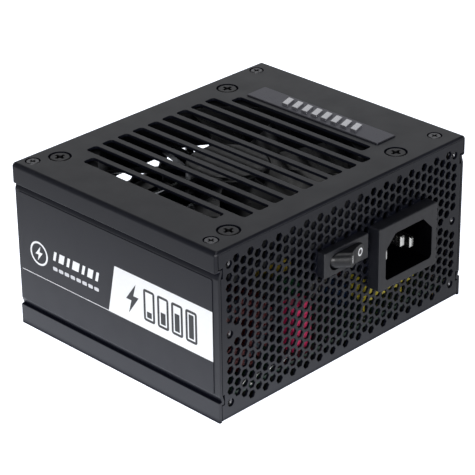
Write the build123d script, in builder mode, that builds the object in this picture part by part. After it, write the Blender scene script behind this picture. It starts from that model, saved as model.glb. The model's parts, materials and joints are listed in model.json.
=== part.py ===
"""Fully modular SFX power supply unit: case, fan, inlet, switch, boards and sockets.

Frame: millimetres, +Z up. The origin is the centre of the case floor's underside.
-Y is the AC face with the inlet and the switch, +Y is the face with the DC sockets.
"""
import os
from math import cos, radians, sin, tan

from build123d import *

os.makedirs("parts", exist_ok=True)

# ---------------------------------------------------------------- driving dimensions
CASE_W = 125.0          # X, SFX standard width
CASE_D = 100.0          # Y, SFX standard depth
CASE_H = 63.5           # Z, SFX standard height
SHEET = 1.0             # steel sheet thickness
FIT = 0.1               # assembly clearance between separate pieces
MID_H = CASE_H / 2

SIDE_GROOVE_Z = 7.6     # height of the first groove lip above the floor
SIDE_GROOVE_DEEP = 1.8  # depth of the pressed groove
SIDE_PANEL_DEEP = 1.1   # how far the middle of the side wall is set in
SIDE_FOOT_DEEP = 0.7    # how far the strip below the lower groove is set in
LIP_R = 0.2             # softening of the groove lips
BEND_R = 1.5            # outer radius of the long top bends
END_R = 0.9             # rounding of the top plate's front and back edges

FAN_X = -6.5            # fan centre
FAN_SIZE = 92.0
FAN_THICK = 15.0
FAN_SCREW_HALF = 82.5 / 2
FAN_TOP = 61.8
FAN_BOTTOM = FAN_TOP - FAN_THICK
FAN_BORE_R = 45.2
ROTOR_TIP_R = 43.8
HUB_R = 15.0
BLADE_COUNT = 9
STRUT_ANGLES = (75, 165, 255, 345)

SLOT_PITCH = 7.25
SLOT_W = 5.0
SLOT_COUNT = 11
SLOT_L = 77.5
OUTER_SLOT_L = 64.5

COVER_SCREW_X = (-56.6, 54.6)
COVER_SCREW_Y = (-42.1, 45.4)
FAN_DIMPLE = 0.65       # depth and radius of the formed dimples under the screw heads
FAN_DIMPLE_R = 4.15
COVER_DIMPLE = 0.5
COVER_DIMPLE_R = 2.75

MOUNT_HALF_X = 113.0 / 2        # case mounting holes on the AC face
MOUNT_HALF_Z = 51.5 / 2
MOUNT_HOLE_R = 1.5              # root radius of the 6-32 threads

HEX_FLATS = 2.85
HEX_COLUMNS = 35
HEX_PITCH_X = 2 * MOUNT_HALF_X / (HEX_COLUMNS - 1)
HEX_PITCH_Z = HEX_PITCH_X / cos(radians(30))
HEX_ROWS = 15

INLET_X = 26.7
INLET_Z = 34.15
INLET_W = 30.6
INLET_H = 24.3
INLET_PROUD = 4.8
CAVITY_X = 27.1
CAVITY_Z = 33.75
CAVITY_W = 24.6
CAVITY_H = 16.9
CAVITY_DEEP = 16.5
CAVITY_CHAMFER = 5.0
PIN_OFFSET_X = 7.0
LIVE_PIN_Z = 31.7
EARTH_PIN_Z = 35.2

SWITCH_X = -3.65
SWITCH_Z = 41.5
SWITCH_W = 22.1
SWITCH_H = 9.4
SWITCH_PROUD = 3.2
ROCKER_H = 5.8
ROCKER_TILT = 18.0              # degrees either side of the middle
LEVER_TILT = 5.0
ROCKER_PIVOT_Y = -47.43
LEVER_PIVOT_Y = -40.53

BOARD_Z = 6.0                   # underside of the main board
BOARD_T = 1.6
BOARD_TOP = BOARD_Z + BOARD_T
BOARD_X = 59.0
BOARD_Y0 = -48.0
BOARD_Y1 = 36.2
STANDOFF_XY = [(x, y) for x in (-54.5, 54.5) for y in (-44.0, 31.5)]

CONNECTOR_BOARD_Y = 36.4
SOCKET_Y0 = CONNECTOR_BOARD_Y + BOARD_T
SOCKET_Y1 = CASE_D / 2 - 0.05
WELL_PITCH = 4.2
WELL_SIZE = 3.4
LOW_ROW_Z = 15.5
HIGH_ROW_Z = 29.5
VENT_Z = 40.0                   # row of air slots above the sockets
VENT_H = 4.4
VENT_L = 10.5
VENT_X = [2.0 + step * 13.5 for step in range(-4, 4)]

AC_FACE = Plane.XZ.offset(CASE_D / 2)           # sketch x is X, sketch y is Z, normal is -Y
DC_FACE = Plane.XZ.offset(-CASE_D / 2)          # same axes, on the connector wall's outer face


# ---------------------------------------------------------------- helpers
def block(x0, x1, y0, y1, z0, z1, mode=Mode.ADD):
    """A box between two corners, added to the part being built."""
    with Locations(((x0 + x1) / 2, (y0 + y1) / 2, (z0 + z1) / 2)):
        return Box(x1 - x0, y1 - y0, z1 - z0, mode=mode)


def post(x, y, z0, z1, radius, mode=Mode.ADD):
    """An upright cylinder between two heights."""
    with Locations((x, y, (z0 + z1) / 2)):
        return Cylinder(radius, z1 - z0, mode=mode)


def rod_x(x0, x1, y, z, radius, mode=Mode.ADD):
    """A cylinder along X."""
    with Locations(((x0 + x1) / 2, y, z)):
        return Cylinder(radius, x1 - x0, rotation=(0, 90, 0), mode=mode)


def rod_y(x, y0, y1, z, radius, mode=Mode.ADD):
    """A cylinder along Y."""
    with Locations((x, (y0 + y1) / 2, z)):
        return Cylinder(radius, y1 - y0, rotation=(90, 0, 0), mode=mode)


def cross_recess(z_top, reach, width, depth, centres):
    """Cross-head driver recesses cut down from a height."""
    for x, y in centres:
        block(x - reach, x + reach, y - width / 2, y + width / 2, z_top - depth, z_top + 1,
              mode=Mode.SUBTRACT)
        block(x - width / 2, x + width / 2, y - reach, y + reach, z_top - depth, z_top + 1,
              mode=Mode.SUBTRACT)
        post(x, y, z_top - depth - width / 4, z_top + 1, width, mode=Mode.SUBTRACT)


fan_screw_xy = [
    (FAN_X + sx * FAN_SCREW_HALF, sy * FAN_SCREW_HALF) for sx in (-1, 1) for sy in (-1, 1)
]
cover_screw_xy = [(x, y) for x in COVER_SCREW_X for y in COVER_SCREW_Y]

# ================================================================ CASE
# ---------------------------------------------------------------- top cover
# One bent sheet: top plate and both side walls. The side walls carry two pressed grooves
# with the label panel set in between them.
half_w = CASE_W / 2
groove = SIDE_GROOVE_DEEP
panel = SIDE_PANEL_DEEP
outer_steps = [(0, 0), (0, SIDE_GROOVE_Z), (groove, SIDE_GROOVE_Z + 0.25), (panel, SIDE_GROOVE_Z + 2.6)]
inner_steps = [
    (SHEET, 0),
    (SHEET, SIDE_GROOVE_Z - 1.0),
    (groove + SHEET, SIDE_GROOVE_Z - 0.75),
    (groove + SHEET, SIDE_GROOVE_Z + 0.4),
    (panel + SHEET, SIDE_GROOVE_Z + 2.75),
]


def wall_line(steps, top):
    """Right-hand wall points from the floor up, mirrored about mid height but for the foot strip."""
    foot_depth = steps[0][0] + SIDE_FOOT_DEEP
    low = [(half_w - max(depth, foot_depth), z) for depth, z in steps]
    high = [(half_w - depth, CASE_H - z) for depth, z in reversed(steps[1:])]
    return low + high + [(half_w - steps[0][0], top)]


right_outer = wall_line(outer_steps, CASE_H)
right_inner = wall_line(inner_steps, CASE_H - SHEET)
left_outer = [(-x, z) for x, z in reversed(right_outer)]
left_inner = [(-x, z) for x, z in right_inner]

with BuildPart() as top_cover:
    with BuildSketch(Plane.XZ):
        with BuildLine():
            Polyline(*right_outer, *left_outer, *left_inner, *reversed(right_inner), close=True)
        make_face()
    extrude(amount=CASE_D / 2, both=True)
    # bend radii along both long top edges
    fillet(top_cover.edges().filter_by(Axis.Y).group_by(Axis.Z)[-1], BEND_R)
    fillet(top_cover.edges().filter_by(Axis.Y).filter_by_position(Axis.Z, CASE_H - 1.01, CASE_H - 0.99), 0.5)
    # softened lips of the grooves
    lips = (
        top_cover.edges()
        .filter_by(Axis.Y)
        .filter_by(lambda edge: abs(edge.center().X) > half_w - SIDE_FOOT_DEEP - 0.01)
        .filter_by(lambda edge: SIDE_GROOVE_Z - 0.1 < edge.center().Z < CASE_H - SIDE_GROOVE_Z + 0.1)
    )
    fillet(lips, LIP_R)
    # formed dimples under every screw head
    for x, y in fan_screw_xy:
        post(x, y, CASE_H - SHEET - FAN_DIMPLE, CASE_H - SHEET, FAN_DIMPLE_R + SHEET)
        post(x, y, CASE_H - FAN_DIMPLE, CASE_H + 1, FAN_DIMPLE_R, mode=Mode.SUBTRACT)
        post(x, y, CASE_H - 3, CASE_H + 1, 2.3, mode=Mode.SUBTRACT)
    for x, y in cover_screw_xy:
        post(x, y, CASE_H - SHEET - COVER_DIMPLE, CASE_H - SHEET, 3.4)
        post(x, y, CASE_H - COVER_DIMPLE, CASE_H + 1, COVER_DIMPLE_R, mode=Mode.SUBTRACT)
        post(x, y, CASE_H - 3, CASE_H + 1, 1.6, mode=Mode.SUBTRACT)
    # air slots over the fan
    with BuildSketch(Plane.XY.offset(CASE_H)):
        for column in range(SLOT_COUNT):
            step = column - (SLOT_COUNT - 1) / 2
            length = OUTER_SLOT_L if column in (0, SLOT_COUNT - 1) else SLOT_L
            with Locations((FAN_X + step * SLOT_PITCH, 0)):
                RectangleRounded(SLOT_W, length, 1.2)
    extrude(amount=-SHEET, mode=Mode.SUBTRACT)
    # deburred front and back edges of the top plate
    fillet(
        top_cover.edges().filter_by(Axis.X).filter_by_position(Axis.Z, CASE_H - 0.01, CASE_H + 0.01)
        .filter_by(lambda edge: abs(abs(edge.center().Y) - CASE_D / 2) < 0.01),
        END_R,
    )
top_cover.part.label = "top_cover"
export_step(top_cover.part, "parts/top_cover.step")


# ---------------------------------------------------------------- chassis
# The other bent sheet: floor, honeycomb AC wall and connector wall, with four screw tabs.
# The end walls have relief notches where the side grooves reach in.
strip_half = half_w - SHEET - 0.3
mid_half = half_w - SIDE_PANEL_DEEP - SHEET - 0.25
notch_half = half_w - SIDE_GROOVE_DEEP - SHEET - 0.4
notch_z0 = SIDE_GROOVE_Z - 1.3
notch_z1 = SIDE_GROOVE_Z + 2.6
foot_half = strip_half - SIDE_FOOT_DEEP
notch = [(notch_half, notch_z0), (notch_half, notch_z1), (mid_half, notch_z1)]
wall_right = [(foot_half, 0), (foot_half, notch_z0)] + notch
wall_right = wall_right + [(x, CASE_H - z) for x, z in reversed([(strip_half, notch_z0)] + notch)]
wall_right = wall_right + [(strip_half, CASE_H - SHEET - FIT)]
wall_left = [(-x, z) for x, z in reversed(wall_right)]


def in_window(x, z, cx, cz, width, height, margin):
    """True when a point lies inside a rectangle grown by a margin."""
    return abs(x - cx) < width / 2 + margin and abs(z - cz) < height / 2 + margin


def hex_centres():
    """Honeycomb centres, leaving room for the screws, the switch and the inlet."""
    centres = []
    middle = (HEX_COLUMNS - 1) / 2
    for column in range(HEX_COLUMNS):
        x = (column - middle) * HEX_PITCH_X
        even = column % 2 == 1
        rows = HEX_ROWS if even else HEX_ROWS - 1
        for row in range(rows):
            z = MID_H + (row - (rows - 1) / 2) * HEX_PITCH_Z
            edge_column = column in (0, HEX_COLUMNS - 1)
            near_edge = column in (1, HEX_COLUMNS - 2)
            if edge_column and (row in (0, rows - 1) or abs(z - MID_H) < HEX_PITCH_Z * 0.6):
                continue
            if near_edge and (row == 0 or abs(z - MID_H) < 0.1):
                continue
            if in_window(x, z, SWITCH_X, SWITCH_Z, SWITCH_W, SWITCH_H, 0.5):
                continue
            if in_window(x, z, INLET_X, INLET_Z, INLET_W, INLET_H, 0.5):
                continue
            centres.append((x, z))
    return centres


def socket_size(columns):
    """Width and height of a two-row socket housing."""
    return columns * WELL_PITCH + 1.2, 2 * WELL_PITCH + 1.2


# socket name, centre X, centre Z, number of columns
MOTHERBOARD_SOCKETS = [(-33.0, LOW_ROW_Z, 9), (0.5, LOW_ROW_Z, 5)]
CPU_SOCKETS = [(x, HIGH_ROW_Z, 4) for x in (-46.0, -25.0, -4.0, 17.0)] + [(27.5, LOW_ROW_Z, 4)]
PERIPHERAL_SOCKETS = [(50.0, LOW_ROW_Z, 3), (35.2, HIGH_ROW_Z, 3), (51.0, HIGH_ROW_Z, 3)]
ALL_SOCKETS = MOTHERBOARD_SOCKETS + CPU_SOCKETS + PERIPHERAL_SOCKETS
LATCH_W = 5.4
LATCH_H = 1.6

with BuildPart() as chassis:
    # floor
    block(-foot_half, foot_half, -CASE_D / 2, CASE_D / 2, 0, SHEET)
    # AC wall
    with BuildSketch(AC_FACE):
        with BuildLine():
            Polyline(*wall_right, *wall_left, close=True)
        make_face()
        with Locations((0, MID_H)):
            with GridLocations(2 * MOUNT_HALF_X, MOUNT_HALF_Z, 2, 3):
                Circle(MOUNT_HOLE_R, mode=Mode.SUBTRACT)
        with Locations((SWITCH_X, SWITCH_Z)):
            Rectangle(SWITCH_W - 2.0, SWITCH_H - 1.4, mode=Mode.SUBTRACT)
        with Locations((INLET_X, INLET_Z)):
            RectangleRounded(INLET_W - 2.6, INLET_H - 2.6, 1.0, mode=Mode.SUBTRACT)
    extrude(amount=-SHEET)
    # connector wall
    with BuildSketch(DC_FACE):
        with BuildLine():
            Polyline(*wall_right, *wall_left, close=True)
        make_face()
        for x, z, columns in ALL_SOCKETS:
            width, height = socket_size(columns)
            with Locations((x, z)):
                Rectangle(width + 0.5, height + 0.5, mode=Mode.SUBTRACT)
            with Locations((x, z + height / 2 + LATCH_H / 2)):
                Rectangle(LATCH_W + 0.5, LATCH_H + 0.5, mode=Mode.SUBTRACT)
        for x in VENT_X:
            with Locations((x, VENT_Z)):
                SlotOverall(VENT_L, VENT_H, mode=Mode.SUBTRACT)
    extrude(amount=SHEET)
    # bend radii along the floor's front and back edges
    fillet(
        chassis.edges().filter_by(Axis.X).filter_by_position(Axis.Z, -0.01, 0.01)
        .filter_by(lambda edge: abs(abs(edge.center().Y) - CASE_D / 2) < 0.01),
        0.9,
    )
    # shallow pocket for the rating label
    block(-36, 36, -26, 26, -1, 0.25, mode=Mode.SUBTRACT)
    # four screw tabs bent in from the walls, under the cover's dimples
    tab_top = CASE_H - SHEET - COVER_DIMPLE - FIT
    for x, y in cover_screw_xy:
        side = 1 if y > 0 else -1
        reach = y - side * 4.0
        block(x - 3.4, x + 3.4, min(side * (CASE_D / 2 - 0.5), reach), max(side * (CASE_D / 2 - 0.5), reach),
              tab_top - SHEET, tab_top)
        post(x, y, tab_top - 2.2, tab_top - SHEET, 2.3)
        post(x, y, tab_top - 4, tab_top + 1, 1.5, mode=Mode.SUBTRACT)
    # honeycomb
    with BuildSketch(AC_FACE, mode=Mode.PRIVATE) as honeycomb:
        with Locations(*hex_centres()):
            RegularPolygon(HEX_FLATS / 2, 6, major_radius=False)
    extrude(honeycomb.sketch, amount=-SHEET, mode=Mode.SUBTRACT, clean=False)
chassis.part.label = "chassis"
export_step(chassis.part, "parts/chassis.step")


# ---------------------------------------------------------------- badge on the top
BADGE_X0 = 34.8
BADGE_X1 = 44.5
BADGE_Y = -0.7
BADGE_HALF_Y = 31.9
BADGE_T = 0.5
with BuildPart() as badge_plate:
    with BuildSketch(Plane.XY.offset(CASE_H)):
        with Locations(((BADGE_X0 + BADGE_X1) / 2, BADGE_Y)):
            RectangleRounded(BADGE_X1 - BADGE_X0, 2 * BADGE_HALF_Y, 0.4)
    extrude(amount=BADGE_T)
    chamfer(badge_plate.faces().sort_by(Axis.Z)[-1].edges(), 0.15)
badge_plate.part.label = "badge_plate"
export_step(badge_plate.part, "parts/badge_plate.step")

# A plain ornament of slanted bars, standing proud of the badge plate.
EMBLEM_BARS = 8
EMBLEM_PITCH = 4.75
EMBLEM_BAR_W = 2.7
EMBLEM_X0 = 36.7
EMBLEM_X1 = 42.1
EMBLEM_Y = -2.0
EMBLEM_SLANT = 1.7
with BuildPart() as badge_emblem:
    with BuildSketch(Plane.XY.offset(CASE_H + BADGE_T)):
        for bar in range(EMBLEM_BARS):
            y0 = EMBLEM_Y + (bar - (EMBLEM_BARS - 1) / 2) * EMBLEM_PITCH - EMBLEM_BAR_W / 2
            with BuildLine():
                Polyline(
                    (EMBLEM_X0, y0 - EMBLEM_SLANT / 2),
                    (EMBLEM_X0, y0 + EMBLEM_BAR_W - EMBLEM_SLANT / 2),
                    (EMBLEM_X1, y0 + EMBLEM_BAR_W + EMBLEM_SLANT / 2),
                    (EMBLEM_X1, y0 + EMBLEM_SLANT / 2),
                    close=True,
                )
            make_face()
    extrude(amount=0.8)
    chamfer(badge_emblem.faces().filter_by(Axis.Z).group_by(Axis.Z)[-1].edges(), 0.12)
badge_emblem.part.label = "badge_emblem"
export_step(badge_emblem.part, "parts/badge_emblem.step")


# ---------------------------------------------------------------- labels
LABEL_T = 0.2
LABEL_Y0 = -47.2
LABEL_Y1 = 48.4
LABEL_Z0 = 10.3
LABEL_Z1 = 52.8


def side_label(x_inner, x_outer, y0, y1):
    """A rectangular sticker on a side wall's set-in panel."""
    block(x_inner, x_outer, y0, y1, LABEL_Z0, LABEL_Z1)


label_in = half_w - SIDE_PANEL_DEEP
with BuildPart() as side_label_left:
    side_label(-label_in - LABEL_T, -label_in, LABEL_Y0, LABEL_Y1)
    fillet(side_label_left.edges().filter_by(Axis.X), 0.5)
side_label_left.part.label = "side_label_left"
export_step(side_label_left.part, "parts/side_label_left.step")

with BuildPart() as side_label_right:
    side_label(label_in, label_in + LABEL_T, -LABEL_Y1, -LABEL_Y0)
    fillet(side_label_right.edges().filter_by(Axis.X), 0.5)
side_label_right.part.label = "side_label_right"
export_step(side_label_right.part, "parts/side_label_right.step")

with BuildPart() as rating_label:
    block(-35.6, 35.6, -25.6, 25.6, 0.05, 0.25)
    fillet(rating_label.edges().filter_by(Axis.Z), 1.0)
rating_label.part.label = "rating_label"
export_step(rating_label.part, "parts/rating_label.step")


# ---------------------------------------------------------------- case screws
with BuildPart() as fan_screws:
    for x, y in fan_screw_xy:
        post(x, y, CASE_H - FAN_DIMPLE, CASE_H - 0.1, 3.45)
        post(x, y, CASE_H - 12, CASE_H - FAN_DIMPLE, 2.05)
    fillet(fan_screws.faces().filter_by(Axis.Z).group_by(Axis.Z)[-1].edges(), 0.35)
    cross_recess(CASE_H - 0.1, 2.0, 1.1, 1.8, fan_screw_xy)
fan_screws.part.label = "fan_screws"
export_step(fan_screws.part, "parts/fan_screws.step")

with BuildPart() as cover_screws:
    for x, y in cover_screw_xy:
        post(x, y, CASE_H - COVER_DIMPLE, CASE_H - 0.05, 2.25)
        post(x, y, CASE_H - 6, CASE_H - COVER_DIMPLE, 1.45)
    fillet(cover_screws.faces().filter_by(Axis.Z).group_by(Axis.Z)[-1].edges(), 0.25)
    cross_recess(CASE_H - 0.05, 1.3, 0.7, 1.2, cover_screw_xy)
cover_screws.part.label = "cover_screws"
export_step(cover_screws.part, "parts/cover_screws.step")


# ================================================================ AC INLET
face_y = -CASE_D / 2
inlet_front = face_y - INLET_PROUD
inlet_back = inlet_front + CAVITY_DEEP + 2.3
with BuildPart() as inlet_housing:
    with BuildSketch(Plane.XZ.offset(-inlet_front)):
        with Locations((INLET_X, INLET_Z)):
            RectangleRounded(INLET_W, INLET_H, 0.8)
    extrude(amount=-INLET_PROUD)
    fillet(inlet_housing.faces().sort_by(Axis.Y)[0].edges(), 0.4)
    with BuildSketch(AC_FACE):
        with Locations((INLET_X, INLET_Z)):
            RectangleRounded(INLET_W - 3.0, INLET_H - 3.0, 0.8)
    extrude(amount=-(inlet_back - face_y))
    # plug cavity: two long chamfers on top, small radii below
    with BuildSketch(Plane.XZ.offset(-inlet_front)):
        with BuildLine():
            Polyline(
                (CAVITY_X - CAVITY_W / 2, CAVITY_Z - CAVITY_H / 2),
                (CAVITY_X + CAVITY_W / 2, CAVITY_Z - CAVITY_H / 2),
                (CAVITY_X + CAVITY_W / 2, CAVITY_Z + CAVITY_H / 2 - CAVITY_CHAMFER),
                (CAVITY_X + CAVITY_W / 2 - CAVITY_CHAMFER, CAVITY_Z + CAVITY_H / 2),
                (CAVITY_X - CAVITY_W / 2 + CAVITY_CHAMFER, CAVITY_Z + CAVITY_H / 2),
                (CAVITY_X - CAVITY_W / 2, CAVITY_Z + CAVITY_H / 2 - CAVITY_CHAMFER),
                close=True,
            )
        cavity_face = make_face()
        fillet(cavity_face.vertices().group_by(Axis.Y)[0], 1.5)
    extrude(amount=-CAVITY_DEEP, mode=Mode.SUBTRACT)
    # slots in the back wall for the three blades
    for x, z in ((CAVITY_X - PIN_OFFSET_X, LIVE_PIN_Z), (CAVITY_X + PIN_OFFSET_X, LIVE_PIN_Z),
                 (CAVITY_X, EARTH_PIN_Z)):
        block(x - 1.0, x + 1.0, inlet_back - 4, inlet_back + 1, z - 2.0, z + 2.0, mode=Mode.SUBTRACT)
inlet_housing.part.label = "inlet_housing"
export_step(inlet_housing.part, "parts/inlet_housing.step")

LIVE_TIP_Y = -50.3
EARTH_TIP_Y = -52.0
TAB_END_Y = inlet_back + 5.0


def inlet_blade(x, z, tip_y):
    """A flat 4 x 2 mm blade with a softened tip and a soldering tab behind."""
    block(x - 1.0, x + 1.0, tip_y, inlet_back, z - 2.0, z + 2.0)
    block(x - 0.4, x + 0.4, inlet_back, TAB_END_Y, z - 1.8, z + 1.8)


with BuildPart() as inlet_live_pins:
    for side in (-1, 1):
        inlet_blade(CAVITY_X + side * PIN_OFFSET_X, LIVE_PIN_Z, LIVE_TIP_Y)
    chamfer(inlet_live_pins.faces().group_by(Axis.Y)[0].edges(), 0.5)
inlet_live_pins.part.label = "inlet_live_pins"
export_step(inlet_live_pins.part, "parts/inlet_live_pins.step")

with BuildPart() as inlet_earth_pin:
    inlet_blade(CAVITY_X, EARTH_PIN_Z, EARTH_TIP_Y)
    chamfer(inlet_earth_pin.faces().sort_by(Axis.Y)[0].edges(), 0.5)
inlet_earth_pin.part.label = "inlet_earth_pin"
export_step(inlet_earth_pin.part, "parts/inlet_earth_pin.step")

# three insulated leads that start behind the soldering tabs and drop to the main board
LEAD_R = 1.1
with BuildPart() as inlet_leads:
    for x, z in ((CAVITY_X - PIN_OFFSET_X, LIVE_PIN_Z), (CAVITY_X + PIN_OFFSET_X, LIVE_PIN_Z),
                 (CAVITY_X, EARTH_PIN_Z)):
        with BuildLine() as lead_path:
            Polyline((x, TAB_END_Y + FIT, z), (x, TAB_END_Y + 3.0, z), (x, TAB_END_Y + 3.0, BOARD_TOP))
            fillet(lead_path.vertices().filter_by_position(Axis.Y, TAB_END_Y + 2.9, TAB_END_Y + 3.1)
                   .sort_by(Axis.Z)[-1], 2.0)
        with BuildSketch(Plane.XZ.offset(-(TAB_END_Y + FIT))):
            with Locations((x, z)):
                Circle(LEAD_R)
        sweep(path=lead_path.wire())
inlet_leads.part.label = "inlet_leads"
export_step(inlet_leads.part, "parts/inlet_leads.step")


# ================================================================ POWER SWITCH
switch_front = face_y - SWITCH_PROUD
RECESS_L = 16.8                 # the rocker's opening, over a lip that hides a longer well
RECESS_H = 6.2
LIP_DEEP = 0.5
WELL_L = 18.8
WELL_FLOOR_Y = LEVER_PIVOT_Y + 1.4
SWITCH_BACK_Y = WELL_FLOOR_Y + 5.2
with BuildPart() as switch_housing:
    with BuildSketch(Plane.XZ.offset(-switch_front)):
        with Locations((SWITCH_X, SWITCH_Z)):
            RectangleRounded(SWITCH_W, SWITCH_H, 0.5)
    extrude(amount=-SWITCH_PROUD)
    fillet(switch_housing.faces().sort_by(Axis.Y)[0].edges(), 0.35)
    block(SWITCH_X - 9.9, SWITCH_X + 9.9, face_y, SWITCH_BACK_Y, SWITCH_Z - 3.9, SWITCH_Z + 3.9)
    # stadium-shaped opening and the longer well behind its lip
    with BuildSketch(Plane.XZ.offset(-switch_front)):
        with Locations((SWITCH_X, SWITCH_Z)):
            SlotOverall(RECESS_L, RECESS_H)
    extrude(amount=-(WELL_FLOOR_Y - switch_front), mode=Mode.SUBTRACT)
    with BuildSketch(Plane.XZ.offset(-switch_front - LIP_DEEP)):
        with Locations((SWITCH_X, SWITCH_Z)):
            SlotOverall(WELL_L, RECESS_H)
    extrude(amount=-(WELL_FLOOR_Y - switch_front - LIP_DEEP), mode=Mode.SUBTRACT)
    # bearing holes for the rocker's trunnions and the lever's pin
    post(SWITCH_X, ROCKER_PIVOT_Y, SWITCH_Z - 3.5, SWITCH_Z + 3.5, 0.95, mode=Mode.SUBTRACT)
    post(SWITCH_X, LEVER_PIVOT_Y, SWITCH_Z - 3.5, SWITCH_Z + 3.5, 0.45, mode=Mode.SUBTRACT)
    # slots for the three terminals
    for step in (-1, 0, 1):
        x = SWITCH_X + step * 6.5
        block(x - 1.6, x + 1.6, WELL_FLOOR_Y - 0.1, SWITCH_BACK_Y + 1, SWITCH_Z - 0.4, SWITCH_Z + 0.4,
              mode=Mode.SUBTRACT)
switch_housing.part.label = "switch_housing"
export_step(switch_housing.part, "parts/switch_housing.step")

# The rocker is drawn in its middle position and turned to the off position. It tapers outward to a
# shallow V face, and its round ends slope so that they clear the lip as it tips.
pivot_axis = Axis((SWITCH_X, ROCKER_PIVOT_Y, SWITCH_Z), (0, 0, 1))
FACE_REACH = 8.58                # distance of the face's ends from the pivot, outward
FACE_VALLEY = 0.5
# half length and outward distance from the pivot of each cross-section, face first
ROCKER_SECTIONS = [(5.52, FACE_REACH), (8.3, 3.9), (8.95, 2.0), (8.9, 0.9)]
with BuildPart() as rocker_middle:
    for (outer_half, outer_out), (inner_half, inner_out) in zip(ROCKER_SECTIONS, ROCKER_SECTIONS[1:]):
        with BuildSketch(Plane.XZ.offset(outer_out - ROCKER_PIVOT_Y)):
            with Locations((SWITCH_X, SWITCH_Z)):
                SlotOverall(2 * outer_half, ROCKER_H)
        with BuildSketch(Plane.XZ.offset(inner_out - ROCKER_PIVOT_Y)):
            with Locations((SWITCH_X, SWITCH_Z)):
                SlotOverall(2 * inner_half, ROCKER_H)
        loft(ruled=True)
    # tapered underside down to the plunger
    with BuildSketch(Plane.XY.offset(SWITCH_Z)):
        with BuildLine():
            Polyline(
                (SWITCH_X - 6.0, ROCKER_PIVOT_Y - 0.9),
                (SWITCH_X + 6.0, ROCKER_PIVOT_Y - 0.9),
                (SWITCH_X + 2.6, ROCKER_PIVOT_Y + 1.9),
                (SWITCH_X - 2.6, ROCKER_PIVOT_Y + 1.9),
                close=True,
            )
        make_face()
    extrude(amount=ROCKER_H / 2 - 0.4, both=True)
    # shallow V across the face
    with BuildSketch(Plane.XY.offset(SWITCH_Z)):
        with BuildLine():
            Polyline(
                (SWITCH_X - 5.52, ROCKER_PIVOT_Y - FACE_REACH),
                (SWITCH_X, ROCKER_PIVOT_Y - FACE_REACH + FACE_VALLEY),
                (SWITCH_X + 5.52, ROCKER_PIVOT_Y - FACE_REACH),
                (SWITCH_X + 5.52, ROCKER_PIVOT_Y - FACE_REACH - 1),
                (SWITCH_X - 5.52, ROCKER_PIVOT_Y - FACE_REACH - 1),
                close=True,
            )
        make_face()
    extrude(amount=ROCKER_H, both=True, mode=Mode.SUBTRACT)
    # trunnions and the plunger's sleeve
    post(SWITCH_X, ROCKER_PIVOT_Y, SWITCH_Z - 3.4, SWITCH_Z + 3.4, 0.9)
    rod_y(SWITCH_X, ROCKER_PIVOT_Y + 1.5, ROCKER_PIVOT_Y + 3.6, SWITCH_Z, 1.7)
    rod_y(SWITCH_X, ROCKER_PIVOT_Y + 0.2, ROCKER_PIVOT_Y + 4.0, SWITCH_Z, 1.05, mode=Mode.SUBTRACT)
switch_rocker = rocker_middle
switch_rocker.part = rocker_middle.part.rotate(pivot_axis, ROCKER_TILT)
switch_rocker.part.label = "switch_rocker"
export_step(switch_rocker.part, "parts/switch_rocker.step")


# ================================================================ SWITCH INSIDES
# The plunger and its spring ride in the rocker; the plunger's round tip tips the see-saw lever.
with BuildPart() as plunger_middle:
    rod_y(SWITCH_X, ROCKER_PIVOT_Y + 2.4, ROCKER_PIVOT_Y + 5.1, SWITCH_Z, 0.95)
    with Locations((SWITCH_X, ROCKER_PIVOT_Y + 5.1, SWITCH_Z)):
        Sphere(0.95)
switch_plunger = plunger_middle
switch_plunger.part = plunger_middle.part.rotate(pivot_axis, ROCKER_TILT)
switch_plunger.part.label = "switch_plunger"
export_step(switch_plunger.part, "parts/switch_plunger.step")

SPRING_R = 0.7
SPRING_WIRE_R = 0.12
with BuildPart() as spring_middle:
    with BuildLine() as spring_path:
        Helix(pitch=0.42, height=1.8, radius=SPRING_R, center=(SWITCH_X, ROCKER_PIVOT_Y + 0.4, SWITCH_Z),
              direction=(0, 1, 0))
    with BuildSketch(Plane(origin=spring_path.line @ 0, z_dir=spring_path.line % 0)):
        Circle(SPRING_WIRE_R)
    sweep(path=spring_path.line)
switch_spring = spring_middle
switch_spring.part = spring_middle.part.rotate(pivot_axis, ROCKER_TILT)
switch_spring.part.label = "switch_spring"
export_step(switch_spring.part, "parts/switch_spring.step")

lever_axis = Axis((SWITCH_X, LEVER_PIVOT_Y, SWITCH_Z), (0, 0, 1))
with BuildPart() as lever_middle:
    block(SWITCH_X - 6.2, SWITCH_X + 6.2, LEVER_PIVOT_Y - 0.7, LEVER_PIVOT_Y - 0.2, SWITCH_Z - 1.2, SWITCH_Z + 1.2)
    post(SWITCH_X, LEVER_PIVOT_Y, SWITCH_Z - 3.4, SWITCH_Z + 3.4, 0.4)
    # silver contact buttons under both ends
    for side in (-1, 1):
        x = SWITCH_X + side * 5.4
        rod_y(x, LEVER_PIVOT_Y - 0.2, LEVER_PIVOT_Y + 0.15, SWITCH_Z, 0.7)
switch_contact_lever = lever_middle
switch_contact_lever.part = lever_middle.part.rotate(lever_axis, -LEVER_TILT)
switch_contact_lever.part.label = "switch_contact_lever"
export_step(switch_contact_lever.part, "parts/switch_contact_lever.step")

with BuildPart() as switch_terminals:
    for step in (-1, 0, 1):
        x = SWITCH_X + step * 6.5
        block(x - 1.5, x + 1.5, WELL_FLOOR_Y, SWITCH_BACK_Y + 5.0, SWITCH_Z - 0.35, SWITCH_Z + 0.35)
switch_terminals.part.label = "switch_terminals"
export_step(switch_terminals.part, "parts/switch_terminals.step")


# ================================================================ FAN
STRUT_T = 2.4
HUB_BASE_T = 1.5
BEARING_R = 3.0
SHAFT_R = 1.5
FLANGE_T = 3.2

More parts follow.
